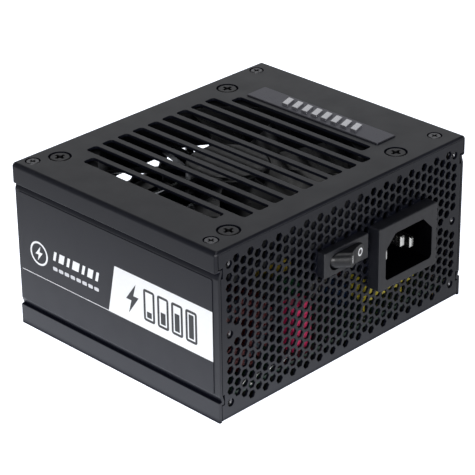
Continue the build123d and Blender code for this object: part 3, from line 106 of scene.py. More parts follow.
class Shader:
    """One principled material with short calls for the few node patterns used here."""

    def __init__(self, name, colour, roughness, metallic=0.0):
        self.material = bpy.data.materials.new(name)
        self.material.use_nodes = True
        self.tree = self.material.node_tree
        self.nodes = self.tree.nodes
        self.links = self.tree.links
        self.bsdf = self.nodes["Principled BSDF"]
        self.bsdf.inputs["Base Color"].default_value = (*colour, 1)
        self.bsdf.inputs["Roughness"].default_value = roughness
        self.bsdf.inputs["Metallic"].default_value = metallic
        self.coords = self.nodes.new("ShaderNodeTexCoord").outputs["Object"]
        self.normal = None

    def set(self, **values):
        """Sets principled inputs by name, with underscores for spaces."""
        for key, value in values.items():
            self.bsdf.inputs[key.replace("_", " ")].default_value = value
        return self

    def link(self, output, key):
        self.links.new(output, self.bsdf.inputs[key])

    def math(self, operation, a, b=0.0):
        return math_node(self.tree, operation, a, b)

    def stretched(self, stretch):
        mapping = self.nodes.new("ShaderNodeMapping")
        mapping.inputs["Scale"].default_value = stretch
        self.links.new(self.coords, mapping.inputs["Vector"])
        return mapping.outputs[0]

    def noise(self, size_mm, detail=3.0, stretch=(1, 1, 1), rough=0.5):
        """Noise whose features are about size_mm across."""
        node = self.nodes.new("ShaderNodeTexNoise")
        node.inputs["Scale"].default_value = 1 / (size_mm * MM)
        node.inputs["Detail"].default_value = detail
        node.inputs["Roughness"].default_value = rough
        self.links.new(self.stretched(stretch), node.inputs["Vector"])
        return node.outputs["Fac"]

    def cells(self, size_mm):
        """Distance to the nearest of scattered points that are about size_mm apart."""
        node = self.nodes.new("ShaderNodeTexVoronoi")
        node.inputs["Scale"].default_value = 1 / (size_mm * MM)
        self.links.new(self.coords, node.inputs["Vector"])
        return node.outputs["Distance"]

    def axis(self, name):
        """One object coordinate in millimetres."""
        node = self.nodes.new("ShaderNodeSeparateXYZ")
        self.links.new(self.coords, node.inputs[0])
        return self.math("MULTIPLY", node.outputs[name], 1 / MM)

    def remap(self, value, low, high, to_low, to_high):
        return range_node(self.tree, value, (low, high), (to_low, to_high))

    def mix(self, factor, first, second):
        """Colour mix; each end is a colour or an output."""
        node = self.nodes.new("ShaderNodeMix")
        node.data_type = "RGBA"
        for key, value in (("Factor", factor), (MIX_FIRST, first), (MIX_SECOND, second)):
            feed(self.links, node.inputs[key], value)
        return node.outputs[MIX_RESULT]

    def colour(self, output):
        self.link(output, "Base Color")
        return self

    def roughness(self, noise, low, high):
        self.link(self.remap(noise, *NOISE_SPAN, low, high), "Roughness")
        return self

    def bevel(self, radius_mm, samples=4):
        """Rounds sharp edges in the shading only."""
        node = self.nodes.new("ShaderNodeBevel")
        node.samples = samples
        node.inputs["Radius"].default_value = radius_mm * MM
        self.normal = node.outputs[0]
        self.link(self.normal, "Normal")
        return self

    def edge_mask(self, gain=6.0):
        """Bright where the bevelled normal leaves the flat one: worn or thin-coated edges."""
        geometry = self.nodes.new("ShaderNodeNewGeometry")
        dot = self.nodes.new("ShaderNodeVectorMath")
        dot.operation = "DOT_PRODUCT"
        self.links.new(self.normal, dot.inputs[0])
        self.links.new(geometry.outputs["Normal"], dot.inputs[1])
        away = self.math("SUBTRACT", 1.0, dot.outputs["Value"])
        return self.math("MINIMUM", self.math("MULTIPLY", away, gain), 1.0)

    def crevice(self, reach_mm, shut, clear):
        """0 deep in a crevice and 1 in the open, from how much is hidden within a short reach: a mask for painted
        shade.
        """
        node = self.nodes.new("ShaderNodeAmbientOcclusion")
        node.samples = 6
        node.inputs["Distance"].default_value = reach_mm * MM
        return self.remap(node.outputs["AO"], shut, clear, 0.0, 1.0)

    def bump(self, height, strength, distance_mm):
        node = self.nodes.new("ShaderNodeBump")
        node.inputs["Strength"].default_value = strength
        node.inputs["Distance"].default_value = distance_mm * MM
        self.links.new(height, node.inputs["Height"])
        if self.normal is not None:
            self.links.new(self.normal, node.inputs["Normal"])
        self.normal = node.outputs[0]
        self.link(self.normal, "Normal")
        return self


def scaled(colour, factor):
    return tuple(min(1.0, c * factor) for c in colour)


# ---------------------------------------------------------------- materials
def powder_coat(name, colour, rough=0.31, grain_mm=0.35, edge=0.006, gloss=0.36):
    """Black textured coating: orange-peel grain, faint cloudiness, thin at edges, and painted shade in crevices.
    """
    s = Shader(name, colour, rough)
    s.bevel(0.22)
    # painted shade: the coat's reflection is turned down in creases and grooves, so that they read dark
    s.link(s.math("MULTIPLY", s.crevice(2.2, 0.62, 0.94), gloss), "Specular IOR Level")
    worn = s.math("MULTIPLY", s.edge_mask(), s.remap(s.noise(1.5, detail=4), 0.35, 0.65, 0.3, 1.0))
    cloudy = s.mix(s.noise(28, detail=3), scaled(colour, 0.75), scaled(colour, 1.3))
    s.colour(s.mix(worn, cloudy, tuple(c + edge for c in colour)))
    s.roughness(s.noise(9, detail=4), rough - 0.03, rough + 0.05)
    peel = s.noise(grain_mm, detail=2)
    s.bump(peel, strength=0.10, distance_mm=0.02)
    s.bump(s.cells(grain_mm * 2.2), strength=0.04, distance_mm=0.02)
    return s.material


def moulded(name, colour, rough=0.4, grain_mm=0.2, strength=0.12, coat=0.0):
    """Moulded plastic with spark-eroded grain and slightly uneven gloss."""
    s = Shader(name, colour, rough)
    s.set(Specular_IOR_Level=0.36)
    s.bevel(0.15)
    s.colour(s.mix(s.noise(6, detail=4), scaled(colour, 0.8), scaled(colour, 1.25)))
    s.roughness(s.noise(2.5, detail=4), rough - 0.05, rough + 0.08)
    s.bump(s.noise(grain_mm, detail=3), strength=strength, distance_mm=0.02)
    s.set(Coat_Weight=coat, Coat_Roughness=0.15)
    return s.material


def inlet_nylon(name, colour, mouth_low, mouth_high):
    """Moulded nylon whose deep recess, a box in millimetres, gets painted shade: near-black colour and almost no
    reflection.
    """
    s = Shader(name, colour, 0.38)
    s.bevel(0.15)
    inside = None
    for axis_name, low, high in zip("XYZ", mouth_low, mouth_high):
        for operation, limit in (("GREATER_THAN", low), ("LESS_THAN", high)):
            test = s.math(operation, s.axis(axis_name), limit)
            inside = test if inside is None else s.math("MULTIPLY", inside, test)
    nylon = s.mix(s.noise(6, detail=4), scaled(colour, 0.8), scaled(colour, 1.25))
    # painted shade: in the recess the colour falls to 0.12 of the nylon's and the reflection almost to nothing
    s.colour(s.mix(inside, nylon, scaled(colour, 0.12)))
    s.link(s.remap(inside, 0, 1, 0.64, 0.02), "Specular IOR Level")
    s.roughness(s.noise(2.5, detail=4), 0.33, 0.46)
    s.bump(s.noise(0.18, detail=3), strength=0.12, distance_mm=0.02)
    return s.material


def polished(name, colour, rough=0.12):
    """Polished moulding: fine scuffs over a smooth face."""
    s = Shader(name, colour, rough)
    s.bevel(0.12)
    s.colour(s.mix(s.noise(3, detail=3), scaled(colour, 0.85), scaled(colour, 1.2)))
    s.roughness(s.noise(1.2, detail=6, stretch=(1, 1, 6)), rough - 0.03, rough + 0.10)
    s.bump(s.noise(0.6, detail=4), strength=0.03, distance_mm=0.01)
    return s.material


def brushed(name, colour, rough=0.3, along="Y", streak_mm=0.12, metallic=1.0, depth=0.06):
    """Metal brushed along one axis."""
    stretch = {"X": (0.02, 1, 1), "Y": (1, 0.02, 1), "Z": (1, 1, 0.02)}[along]
    s = Shader(name, colour, rough, metallic)
    s.bevel(0.12)
    streaks = s.noise(streak_mm, detail=5, stretch=stretch)
    s.colour(s.mix(streaks, scaled(colour, 0.82), scaled(colour, 1.15)))
    s.roughness(streaks, rough - 0.06, rough + 0.12)
    s.bump(streaks, strength=depth, distance_mm=0.01)
    return s.material


def plated(name, colour, rough=0.2):
    """Bright plated metal with water marks and fine scratches."""
    s = Shader(name, colour, rough, 1.0)
    s.bevel(0.1)
    s.colour(s.mix(s.noise(2.0, detail=4), scaled(colour, 0.8), colour))
    s.roughness(s.noise(0.8, detail=6), rough - 0.08, rough + 0.12)
    s.bump(s.noise(0.3, detail=4, stretch=(1, 1, 0.2)), strength=0.05, distance_mm=0.01)
    return s.material


WAVE_DIVISOR = 6.28         # sets the wave texture's bands about two wires apart


def enamel_wire(name, colour, wire_mm=0.8):
    """Varnished winding wire: fine turns under a gloss coat."""
    s = Shader(name, colour, 0.25, 0.6)
    strands = s.nodes.new("ShaderNodeTexWave")
    strands.inputs["Scale"].default_value = 1 / (wire_mm * MM) / WAVE_DIVISOR
    strands.inputs["Distortion"].default_value = 0.6
    s.links.new(s.coords, strands.inputs["Vector"])
    s.colour(s.mix(s.noise(3, detail=3), scaled(colour, 0.7), scaled(colour, 1.2)))
    s.roughness(s.noise(1.0, detail=3), 0.18, 0.35)
    s.bump(strands.outputs["Fac"], strength=0.3, distance_mm=0.05)
    s.set(Coat_Weight=0.6, Coat_Roughness=0.12)
    return s.material


def circuit_board(name):
    """Solder-masked board: tracks show as lighter lines, with plated dots."""
    s = Shader(name, (0.02, 0.10, 0.045), 0.3)
    brick = s.nodes.new("ShaderNodeTexBrick")
    brick.inputs["Scale"].default_value = 1 / (4.0 * MM)
    brick.inputs["Mortar Size"].default_value = 0.06
    for key, level in (("Color1", 0), ("Color2", 0), ("Mortar", 1)):
        brick.inputs[key].default_value = (level, level, level, 1)
    s.links.new(s.coords, brick.inputs["Vector"])
    base = s.mix(s.noise(12, detail=3), (0.004, 0.016, 0.009), (0.008, 0.028, 0.014))
    tracks = s.mix(brick.outputs["Color"], base, (0.014, 0.05, 0.025))
    dots = s.math("LESS_THAN", s.cells(3.4), 0.14)
    s.colour(s.mix(dots, tracks, (0.60, 0.58, 0.54)))
    s.link(dots, "Metallic")
    s.roughness(s.noise(2, detail=3), 0.22, 0.4)
    s.bump(brick.outputs["Color"], strength=0.2, distance_mm=0.03)
    return s.material


def film(name, colour, rough=0.32):
    """Laminated sticker film: faint ripple and a fine laminate grain."""
    s = Shader(name, colour, rough)
    s.set(Specular_IOR_Level=0.31)
    s.bevel(0.08)
    s.colour(s.mix(s.noise(16, detail=4), scaled(colour, 0.9), scaled(colour, 1.12)))
    s.roughness(s.noise(5, detail=5), rough - 0.04, rough + 0.06)
    s.bump(s.noise(0.18, detail=2), strength=0.05, distance_mm=0.01)
    s.bump(s.noise(18, detail=1), strength=0.02, distance_mm=0.3)
    return s.material


def ink(name, colour, rough=0.35):
    """Screen-printed ink: tiny pinholes and slightly uneven density."""
    s = Shader(name, colour, rough)
    s.colour(s.mix(s.noise(1.2, detail=4), scaled(colour, 0.93), colour))
    s.roughness(s.noise(0.6, detail=3), rough - 0.05, rough + 0.08)
    s.bump(s.noise(0.12, detail=2), strength=0.08, distance_mm=0.01)
    return s.material


def ferrite(name, colour):
    """Pressed and fired core: matt, gritty, with small chips of lighter grey."""
    s = Shader(name, colour, 0.6)
    s.bevel(0.2)
    chips = s.math("LESS_THAN", s.cells(1.6), 0.12)
    body = s.mix(s.noise(4, detail=5), scaled(colour, 0.7), scaled(colour, 1.3))
    s.colour(s.mix(chips, body, scaled(colour, 2.2)))
    s.roughness(s.noise(1.0, detail=4), 0.5, 0.75)
    s.bump(s.noise(0.35, detail=4), strength=0.3, distance_mm=0.03)
    return s.material


def epoxy(name, colour, rough=0.25):
    """Dipped or potted resin: glossy with sagging thickness."""
    s = Shader(name, colour, rough)
    s.bevel(0.4)
    s.colour(s.mix(s.noise(3, detail=4), scaled(colour, 0.8), scaled(colour, 1.1)))
    s.roughness(s.noise(1.5, detail=3), rough - 0.08, rough + 0.1)
    s.bump(s.noise(2.5, detail=3), strength=0.15, distance_mm=0.2)
    s.set(Coat_Weight=0.3, Coat_Roughness=0.1)
    return s.material


def capacitor_can(name, top_mm, crown_mm):
    """Sleeved can: dark shrink sleeve, with bare aluminium over the last crown_mm below the top."""
    s = Shader(name, (0.02, 0.02, 0.03), 0.28)
    height = s.axis("Z")
    bare = s.math("GREATER_THAN", height, top_mm - crown_mm)
    sleeve = s.mix(s.noise(5, detail=3), (0.015, 0.016, 0.022), (0.035, 0.036, 0.046))
    s.colour(s.mix(bare, sleeve, (0.62, 0.62, 0.64)))
    s.link(bare, "Metallic")
    s.roughness(s.noise(1.5, detail=4), 0.2, 0.38)
    s.bump(s.noise(0.6, detail=3), strength=0.06, distance_mm=0.03)
    return s.material


def taped(name, colour, tape_mm=3.1):
    """Winding wrapped in polyester tape: overlapping turns seen as fine steps."""
    s = Shader(name, colour, 0.25)
    height = s.math("FRACT", s.math("DIVIDE", s.axis("Z"), tape_mm))
    s.colour(s.mix(height, scaled(colour, 0.8), scaled(colour, 1.1)))
    s.roughness(s.noise(2, detail=3), 0.15, 0.35)
    s.bump(height, strength=0.3, distance_mm=0.06)
    s.set(Coat_Weight=0.5, Coat_Roughness=0.1)
    return s.material


COAT_BLACK = (0.0042, 0.0048, 0.0088)
FAN_BLACK = (0.0030, 0.0032, 0.0042)
ROCKER_BLACK = (0.0050, 0.0052, 0.0066)
SCREW_FINISH = {"along": "X", "streak_mm": 0.1, "depth": 0.03}
RECESS_HALF_W = 12.5        # half width and height of the inlet's recess, about its mount
RECESS_HALF_H = 8.65
RECESS_LIP = 0.25           # from the inlet's face to where the recess's painted shade starts
INLET_CENTRE = Vector(MOUNTS["mains_inlet"]["pos_m"]) / MM
INLET_RECESS = (
    (INLET_CENTRE.x - RECESS_HALF_W, INLET_LOW.y + RECESS_LIP, INLET_CENTRE.z - RECESS_HALF_H),
    (INLET_CENTRE.x + RECESS_HALF_W, INLET_HIGH.y + 1, INLET_CENTRE.z + RECESS_HALF_H),
)
materials = {
    "case_steel": powder_coat("case_powder_coat", COAT_BLACK),
    "badge_metal": brushed("badge_anodised", (0.115, 0.115, 0.135), 0.32, streak_mm=0.1, metallic=0.85),
    "emblem_metal": brushed("emblem_satin_metal", (0.78, 0.78, 0.81), 0.24, along="X", streak_mm=0.08),
    "label_film": film("label_laminate", (0.0075, 0.008, 0.0125)),
    "screw_black": brushed("screw_black_oxide", (0.030, 0.030, 0.033), 0.30, metallic=0.75, **SCREW_FINISH),
    "screw_zinc": brushed("screw_black_zinc", (0.13, 0.13, 0.138), 0.26, metallic=0.9, **SCREW_FINISH),
    "inlet_plastic": inlet_nylon("inlet_nylon", (0.0050, 0.0055, 0.0085), *INLET_RECESS),
    "rocker_plastic": moulded("rocker_gloss", ROCKER_BLACK, 0.34, grain_mm=0.12, strength=0.04, coat=0.15),
    "tinned_metal": plated("tin_plate", (0.82, 0.82, 0.80), 0.2),
    "copper_wire": enamel_wire("enamelled_copper", (0.34, 0.12, 0.045)),
    "spring_steel": plated("spring_steel", (0.55, 0.55, 0.56), 0.25),
    "fan_plastic": moulded("fan_blade_pbt", FAN_BLACK, 0.30, grain_mm=1.5, strength=0.004),
    "fan_frame_plastic": moulded("fan_frame_pbt", FAN_BLACK, 0.40, grain_mm=0.6, strength=0.02),
    "motor_steel": brushed("motor_steel", (0.50, 0.50, 0.51), 0.3, along="Z"),
    "magnet_ferrite": ferrite("ring_magnet", (0.05, 0.048, 0.045)),
    "ferrite": ferrite("ferrite_core", (0.022, 0.022, 0.025)),
    "bronze": plated("sintered_bronze", (0.48, 0.33, 0.16), 0.45),
    "board_green": circuit_board("circuit_board"),
    "brass_post": brushed("turned_brass", (0.70, 0.52, 0.22), 0.25, along="Z"),
    "clear_film": film("insulation_film", (0.10, 0.10, 0.085), 0.25),
    "socket_plastic": moulded("socket_nylon", (0.0045, 0.0046, 0.0056), 0.42),
    "yellow_box": epoxy("yellow_capacitor_box", (0.62, 0.52, 0.05), 0.3),
    "blue_epoxy": epoxy("blue_dipped_resin", (0.006, 0.018, 0.05)),
    "green_epoxy": epoxy("green_dipped_resin", (0.008, 0.045, 0.018)),
    "fuse_ceramic": polished("fuse_ceramic", (0.30, 0.29, 0.27), 0.2),
    "relay_plastic": moulded("relay_case", (0.008, 0.008, 0.010), 0.3, grain_mm=0.15, strength=0.05),
    "red_film": epoxy("red_capacitor_box", (0.70, 0.03, 0.13), 0.30),
    "red_enamel": enamel_wire("red_enamelled_wire", (0.10, 0.012, 0.012)),
    "core_coat": epoxy("core_epoxy", (0.03, 0.045, 0.06), 0.4),
    "package_black": moulded("moulded_package", (0.008, 0.008, 0.009), 0.45, grain_mm=0.1),
    "capacitor_sleeve": capacitor_can("capacitor_sleeve", BULK_TOP, crown_mm=0.6),
    "heatsink_alloy": brushed("heatsink_alloy", (0.16, 0.16, 0.165), 0.38),
    "winding_tape": taped("winding_tape", (0.30, 0.22, 0.03)),
    "lead_insulation": moulded("silicone_sleeve", (0.06, 0.008, 0.008), 0.5, grain_mm=0.3),
    "fan_lead_insulation": moulded("wire_sleeve", (0.010, 0.010, 0.011), 0.4, grain_mm=0.3),
}
for part in frame["record"]["subparts"]:
    mesh = NODES[part["node"]].data
    mesh.materials.clear()
    mesh.materials.append(materials[part["material_slot"]])

ink_white = ink("ink_white", (0.86, 0.87, 0.89))
ink_grey = ink("ink_grey", (0.014, 0.015, 0.018))
ink_silver = ink("ink_silver", (0.62, 0.63, 0.66))


# ---------------------------------------------------------------- mesh helpers
PRINT_T = 0.02              # thickness of one layer of ink
FRAME_INNER_R = 0.15        # least radius inside a printed frame's corners


class Face:
    """A flat face of the object: turns (along, up, out) in millimetres into frame metres."""

    def __init__(self, origin, along, up, out):
        self.origin = Vector(origin)
        self.along = Vector(along)
        self.up = Vector(up)
        self.out = Vector(out)

    def point(self, u, v, w=0.0):
        return (self.origin + self.along * u + self.up * v + self.out * w) * MM


def finish_piece(mesh_name, bm, material, body="case", smooth=False):
    """Turns a bmesh into a piece riding on a body."""
    bmesh.ops.recalc_face_normals(bm, faces=bm.faces)
    mesh = bpy.data.meshes.new(mesh_name)
    bm.to_mesh(mesh)
    bm.free()
    if smooth:
        mesh.shade_smooth()
    piece = bpy.data.objects.new(mesh_name, mesh)
    bpy.context.scene.collection.objects.link(piece)
    mesh.materials.append(material)
    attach(piece, body)


def add_prism(bm, face, outline, low, high):
    """A closed prism on a face: an outline of (u, v) points between two heights."""
    bottom = [bm.verts.new(face.point(u, v, low)) for u, v in outline]
    top = [bm.verts.new(face.point(u, v, high)) for u, v in outline]
    bm.faces.new(bottom)
    bm.faces.new(top)
    for i in range(len(outline)):
        j = (i + 1) % len(outline)
        bm.faces.new((bottom[i], bottom[j], top[j], top[i]))


def join_loops(bm, loops, closed=True):
    """Skins loops of vertices in turn, and the last back to the first if the skin is closed."""
    count = len(loops[0])
    following = loops[1:] + loops[:1] if closed else loops[1:]
    for a, b in zip(loops, following):
        for k in range(count):
            m = (k + 1) % count
            bm.faces.new((a[k], a[m], b[m], b[k]))


def circle(centre, radius, count):
    """Points of a circle about a centre."""
    points = []
    for k in range(count):
        turn = 2 * math.pi * k / count
        points.append((centre[0] + radius * math.cos(turn), centre[1] + radius * math.sin(turn)))
    return points


def add_ring(bm, face, centre, inner, outer, low, high, segments=64):
    """A closed flat ring on a face."""
    loops = []
    for radius, height in ((outer, low), (outer, high), (inner, high), (inner, low)):
        loops.append([bm.verts.new(face.point(u, v, height)) for u, v in circle(centre, radius, segments)])
    join_loops(bm, loops)


def rounded_rect(u0, u1, v0, v1, radius, steps=5):
    """Outline of a rectangle with round corners."""
    points = []
    for cu, cv, start in ((u1 - radius, v0 + radius, -90), (u1 - radius, v1 - radius, 0),
                          (u0 + radius, v1 - radius, 90), (u0 + radius, v0 + radius, 180)):
        for k in range(steps + 1):
            a = math.radians(start + 90 * k / steps)
            points.append((cu + radius * math.cos(a), cv + radius * math.sin(a)))
    return points


def add_frame(bm, face, rect, stroke, radius):
    """A closed flat frame with round corners, printed over another ink."""
    u0, u1, v0, v1 = rect
    outer = rounded_rect(u0, u1, v0, v1, radius)
    inner_radius = max(radius - stroke, FRAME_INNER_R)
    inner = rounded_rect(u0 + stroke, u1 - stroke, v0 + stroke, v1 - stroke, inner_radius)
    loops = []
    for outline, height in ((outer, PRINT_T), (outer, 2 * PRINT_T), (inner, 2 * PRINT_T), (inner, PRINT_T)):
        loops.append([bm.verts.new(face.point(u, v, height)) for u, v in outline])
    join_loops(bm, loops)


def slanted(u0, u1, v0, v1, lean):
    """Outline of a bar that leans over by lean at its top."""
    return [(u0, v0), (u1, v0), (u1 + lean, v1), (u0 + lean, v1)]


# ---------------------------------------------------------------- side label prints
# widths run along the label and heights up it, from its lower left corner
LABEL_W = LABEL_HIGH.y - LABEL_LOW.y
BAND_BOTTOM = 12.1          # white band, with a thin rule from the label's start to the band
BAND_TOP = 30.7
BAND_START = 45.2
BAND_SLANT = 3.8
RULE_H = 0.22
RING_CENTRE = (9.6, 21.3)   # ring mark with a spark in it
RING_INNER = 3.85
RING_OUTER = 4.6
RING_SPARK = ((0.9, 3.0), (-1.9, -0.5), (-0.25, -0.5), (-0.9, -3.0), (1.9, 0.6), (0.25, 0.6))
BAR_START = 17.0            # leaning bars
BAR_WIDTHS = (1.3, 2.6, 1.3, 3.4, 1.3, 2.6, 1.3)
BAR_GAP = 1.55
BAR_HEIGHTS = (21.4, 25.0)
BAR_LEAN = 0.9
DASH_START = 16.8           # dotted line under the bars
DASH_COUNT = 8
DASH_PITCH = 3.05
DASH_L = 2.3
DASH_HEIGHTS = (17.5, 18.9)
DASH_ROUND = 0.4
BAND_SPARK_CENTRE = (57.4, 21.4)
BAND_SPARK = ((1.9, 6.0), (-3.1, -0.9), (-0.5, -0.9), (-1.9, -6.0), (3.1, 1.1), (0.5, 1.1))
CELL_COUNT = 4              # gauge cells on the white band
CELL_START = 62.9
CELL_PITCH = 6.7
CELL_W = 5.4
CELL_BOTTOM = 15.4
CELL_TOP = 27.4
CELL_STROKE = 0.95
CELL_ROUND = 1.0
CELL_GAP = 1.55             # from a cell's outside to its filling
FILL_ROUND = 0.2

left_face = Face((LABEL_LOW.x, LABEL_HIGH.y, LABEL_LOW.z), (0, -1, 0), (0, 0, 1), (-1, 0, 0))
right_face = Face((RIGHT_HIGH.x, RIGHT_LOW.y, RIGHT_LOW.z), (0, 1, 0), (0, 0, 1), (1, 0, 0))


def moved(outline, centre):
    return [(centre[0] + u, centre[1] + v) for u, v in outline]


def label_prints(side, face):
    """White band, rule, ring mark, plain bars and gauge cells on one side label. No lettering."""
    bm = bmesh.new()
    band = [(BAND_START, BAND_BOTTOM), (LABEL_W, BAND_BOTTOM), (LABEL_W, BAND_TOP),
            (BAND_START + BAND_SLANT, BAND_TOP)]
    add_prism(bm, face, band, 0, PRINT_T)
    add_prism(bm, face, slanted(0, BAND_START, BAND_BOTTOM, BAND_BOTTOM + RULE_H, 0), 0, PRINT_T)
    finish_piece(f"label_{side}_white_band", bm, ink_white)

    # ring mark with a plain spark shape inside
    bm = bmesh.new()
    add_ring(bm, face, RING_CENTRE, RING_INNER, RING_OUTER, 0, PRINT_T)
    add_prism(bm, face, moved(RING_SPARK, RING_CENTRE), 0, PRINT_T)
    finish_piece(f"label_{side}_ring_mark", bm, ink_white)

    # leaning bars of a few widths in place of a name, and a dotted line in place of small print
    bm = bmesh.new()
    u = BAR_START
    for width in BAR_WIDTHS:
        add_prism(bm, face, slanted(u, u + width, *BAR_HEIGHTS, BAR_LEAN), 0, PRINT_T)
        u += width + BAR_GAP
    finish_piece(f"label_{side}_name_bars", bm, ink_white)
    bm = bmesh.new()
    for dash in range(DASH_COUNT):
        u = DASH_START + dash * DASH_PITCH
        outline = rounded_rect(u, u + DASH_L, *DASH_HEIGHTS, DASH_ROUND, steps=3)
        add_prism(bm, face, outline, 0, PRINT_T)
    finish_piece(f"label_{side}_small_print", bm, ink_silver)

    # dark figures on the white band: a spark, then cells that fill up step by step
    bm = bmesh.new()
    add_prism(bm, face, moved(BAND_SPARK, BAND_SPARK_CENTRE), PRINT_T, 2 * PRINT_T)
    fill_bottom = CELL_BOTTOM + CELL_GAP
    for cell in range(CELL_COUNT):
        u = CELL_START + cell * CELL_PITCH
        add_frame(bm, face, (u, u + CELL_W, CELL_BOTTOM, CELL_TOP), CELL_STROKE, CELL_ROUND)
        fill_top = fill_bottom + (CELL_TOP - CELL_GAP - fill_bottom) * (cell + 1) / CELL_COUNT
        filling = rounded_rect(u + CELL_GAP, u + CELL_W - CELL_GAP, fill_bottom, fill_top, FILL_ROUND)
        add_prism(bm, face, filling, PRINT_T, 2 * PRINT_T)
    finish_piece(f"label_{side}_figures", bm, ink_grey)


label_prints("left", left_face)
label_prints("right", right_face)


# ---------------------------------------------------------------- underside label
TABLE_HALF_W = 31.0
TABLE_HALF_H = 21.0
TABLE_ROWS = 6
TABLE_COLUMNS = (-TABLE_HALF_W, -14.0, 1.0, 16.0, TABLE_HALF_W)
TABLE_LINE = 0.35
COLUMN_SPAN = (PRINT_T / 4, PRINT_T * 1.2)      # off the rows' own planes, where the lines cross

rating_face = Face(((RATING_LOW.x + RATING_HIGH.x) / 2, (RATING_LOW.y + RATING_HIGH.y) / 2, RATING_LOW.z),
                   (1, 0, 0), (0, -1, 0), (0, 0, -1))
half_line = TABLE_LINE / 2
bm = bmesh.new()
for row in range(TABLE_ROWS + 1):
    v = -TABLE_HALF_H + row * 2 * TABLE_HALF_H / TABLE_ROWS
    line = slanted(-TABLE_HALF_W, TABLE_HALF_W, v - half_line, v + half_line, 0)
    add_prism(bm, rating_face, line, 0, PRINT_T)
for u in TABLE_COLUMNS:
    line = slanted(u - half_line, u + half_line, -TABLE_HALF_H, TABLE_HALF_H, 0)
    add_prism(bm, rating_face, line, *COLUMN_SPAN)
finish_piece("rating_label_table", bm, ink_silver)


# ---------------------------------------------------------------- wire links on the main board
WIRE_LINKS = (              # each link's place along X and its span
    (-46, 4), (-40, 3), (-33, 4), (-27, 3), (-9, 4), (-3, 3), (4, 4), (11, 4), (24, 4), (31, 3), (45, 4),
)
LINK_INSET = 1.1            # from the board's edge at the inlet wall


def add_wire_link(bm, x, y, span, radius=0.32, rise=1.5, sides=8, steps=10):
    """A bare wire bent into a low arch, standing on the board along X."""
    rings = []
    for k in range(steps + 1):
        a = math.pi * k / steps
        centre = Vector((x - span / 2 * math.cos(a), y, BOARD_HIGH.z + rise * math.sin(a)))
        forward = Vector((span / 2 * math.sin(a), 0, rise * math.cos(a))).normalized()
        across = Vector((0, 1, 0))
        lift = forward.cross(across)
        rings.append([
            bm.verts.new((centre + radius * (across * math.cos(t) + lift * math.sin(t))) * MM)
            for t in (2 * math.pi * i / sides for i in range(sides))
        ])
    bm.faces.new(rings[0])
    bm.faces.new(rings[-1])
    join_loops(bm, rings, closed=False)


bm = bmesh.new()
for x, span in WIRE_LINKS:
    add_wire_link(bm, x, BOARD_LOW.y + LINK_INSET, span)
finish_piece("board_wire_links", bm, materials["tinned_metal"], smooth=True)


# ---------------------------------------------------------------- rocker marks
ROCKER_PIVOT = Vector(JOINTS["rocker_tilt"]["pos_m"]) / MM
ROCKER_TURN = -math.radians(sum(JOINTS["rocker_tilt"]["range_deg"]) / 2)     # from mid travel to rest
VALLEY_OUT = 8.08           # outward distance of the face's middle and ends from the pivot
FACE_END_OUT = 8.58
FACE_HALF = 5.52
MARK_RISE = 0.03            # a mark reaches this far to both sides of the face
OFF_RING_AT = 3.1           # distances along a facet from the valley
OFF_RING_INNER = 0.95
OFF_RING_OUTER = 1.5
ON_BAR_AT = (-3.35, -2.9)
ON_BAR_HALF_H = 1.45
ON_BAR_ROUND = 0.2


def rocker_point(x, out):
    """A point of the rocker's own mid plane, turned into its resting position."""
    turned_x = x * math.cos(ROCKER_TURN) + out * math.sin(ROCKER_TURN)
    turned_out = -x * math.sin(ROCKER_TURN) + out * math.cos(ROCKER_TURN)
    return ROCKER_PIVOT + Vector((turned_x, -turned_out, 0))


def rocker_facet(side):
    """Face of one half of the rocker, with its origin in the valley."""
    valley = rocker_point(0, VALLEY_OUT)
    along = (rocker_point(side * FACE_HALF, FACE_END_OUT) - valley).normalized() * side
    out = along.cross(Vector((0, 0, 1)))
    return Face(valley, along, (0, 0, 1), out)


bm = bmesh.new()
add_ring(bm, rocker_facet(1), (OFF_RING_AT, 0), OFF_RING_INNER, OFF_RING_OUTER, -MARK_RISE, MARK_RISE, 40)
finish_piece("rocker_off_ring", bm, ink_white, "rocker")
bm = bmesh.new()
on_bar = rounded_rect(*ON_BAR_AT, -ON_BAR_HALF_H, ON_BAR_HALF_H, ON_BAR_ROUND, steps=3)
add_prism(bm, rocker_facet(-1), on_bar, -MARK_RISE, MARK_RISE)
finish_piece("rocker_on_bar", bm, ink_white, "rocker")


# ---------------------------------------------------------------- threads in the mounting holes
SHEET = 1.0                 # thickness of the wall that the threads stand behind
THREAD_CREST_R = 1.2
THREAD_ROOT_R = 1.42
THREAD_OUTER_R = 2.2
THREAD_GAP = 0.04           # between the wall and the first ridge
THREAD_STEP = 0.2           # from a crest to the next root
THREAD_POINTS = 5


def add_lathe(bm, centre, profile, segments=32):
    """A closed ring turned about a line along Y from (radius, y) points. The centre is (x, z)."""
    loops = []
    for radius, y in profile:
        loops.append([bm.verts.new(Vector((x, y, z)) * MM) for x, z in circle(centre, radius, segments)])
    join_loops(bm, loops)


hole_pattern = MOUNTS["rear_corner_screws"]
hole_x = hole_pattern["dims"]["spacing_x_mm"] / 2
hole_z = hole_pattern["dims"]["spacing_y_mm"] / 2
pattern_z = hole_pattern["pos_m"][2] / MM
thread_y = CASE_FRONT + SHEET + THREAD_GAP
ridges = [
    (THREAD_CREST_R if step % 2 else THREAD_ROOT_R, thread_y + THREAD_STEP * step)
    for step in range(THREAD_POINTS)
]
profile = ridges + [(THREAD_OUTER_R, ridges[-1][1]), (THREAD_OUTER_R, ridges[0][1])]
bm = bmesh.new()
for x in (-hole_x, hole_x):
    for z in (pattern_z - hole_z, pattern_z, pattern_z + hole_z):
        add_lathe(bm, (x, z), profile)
finish_piece("mount_threads", bm, materials["screw_zinc"])


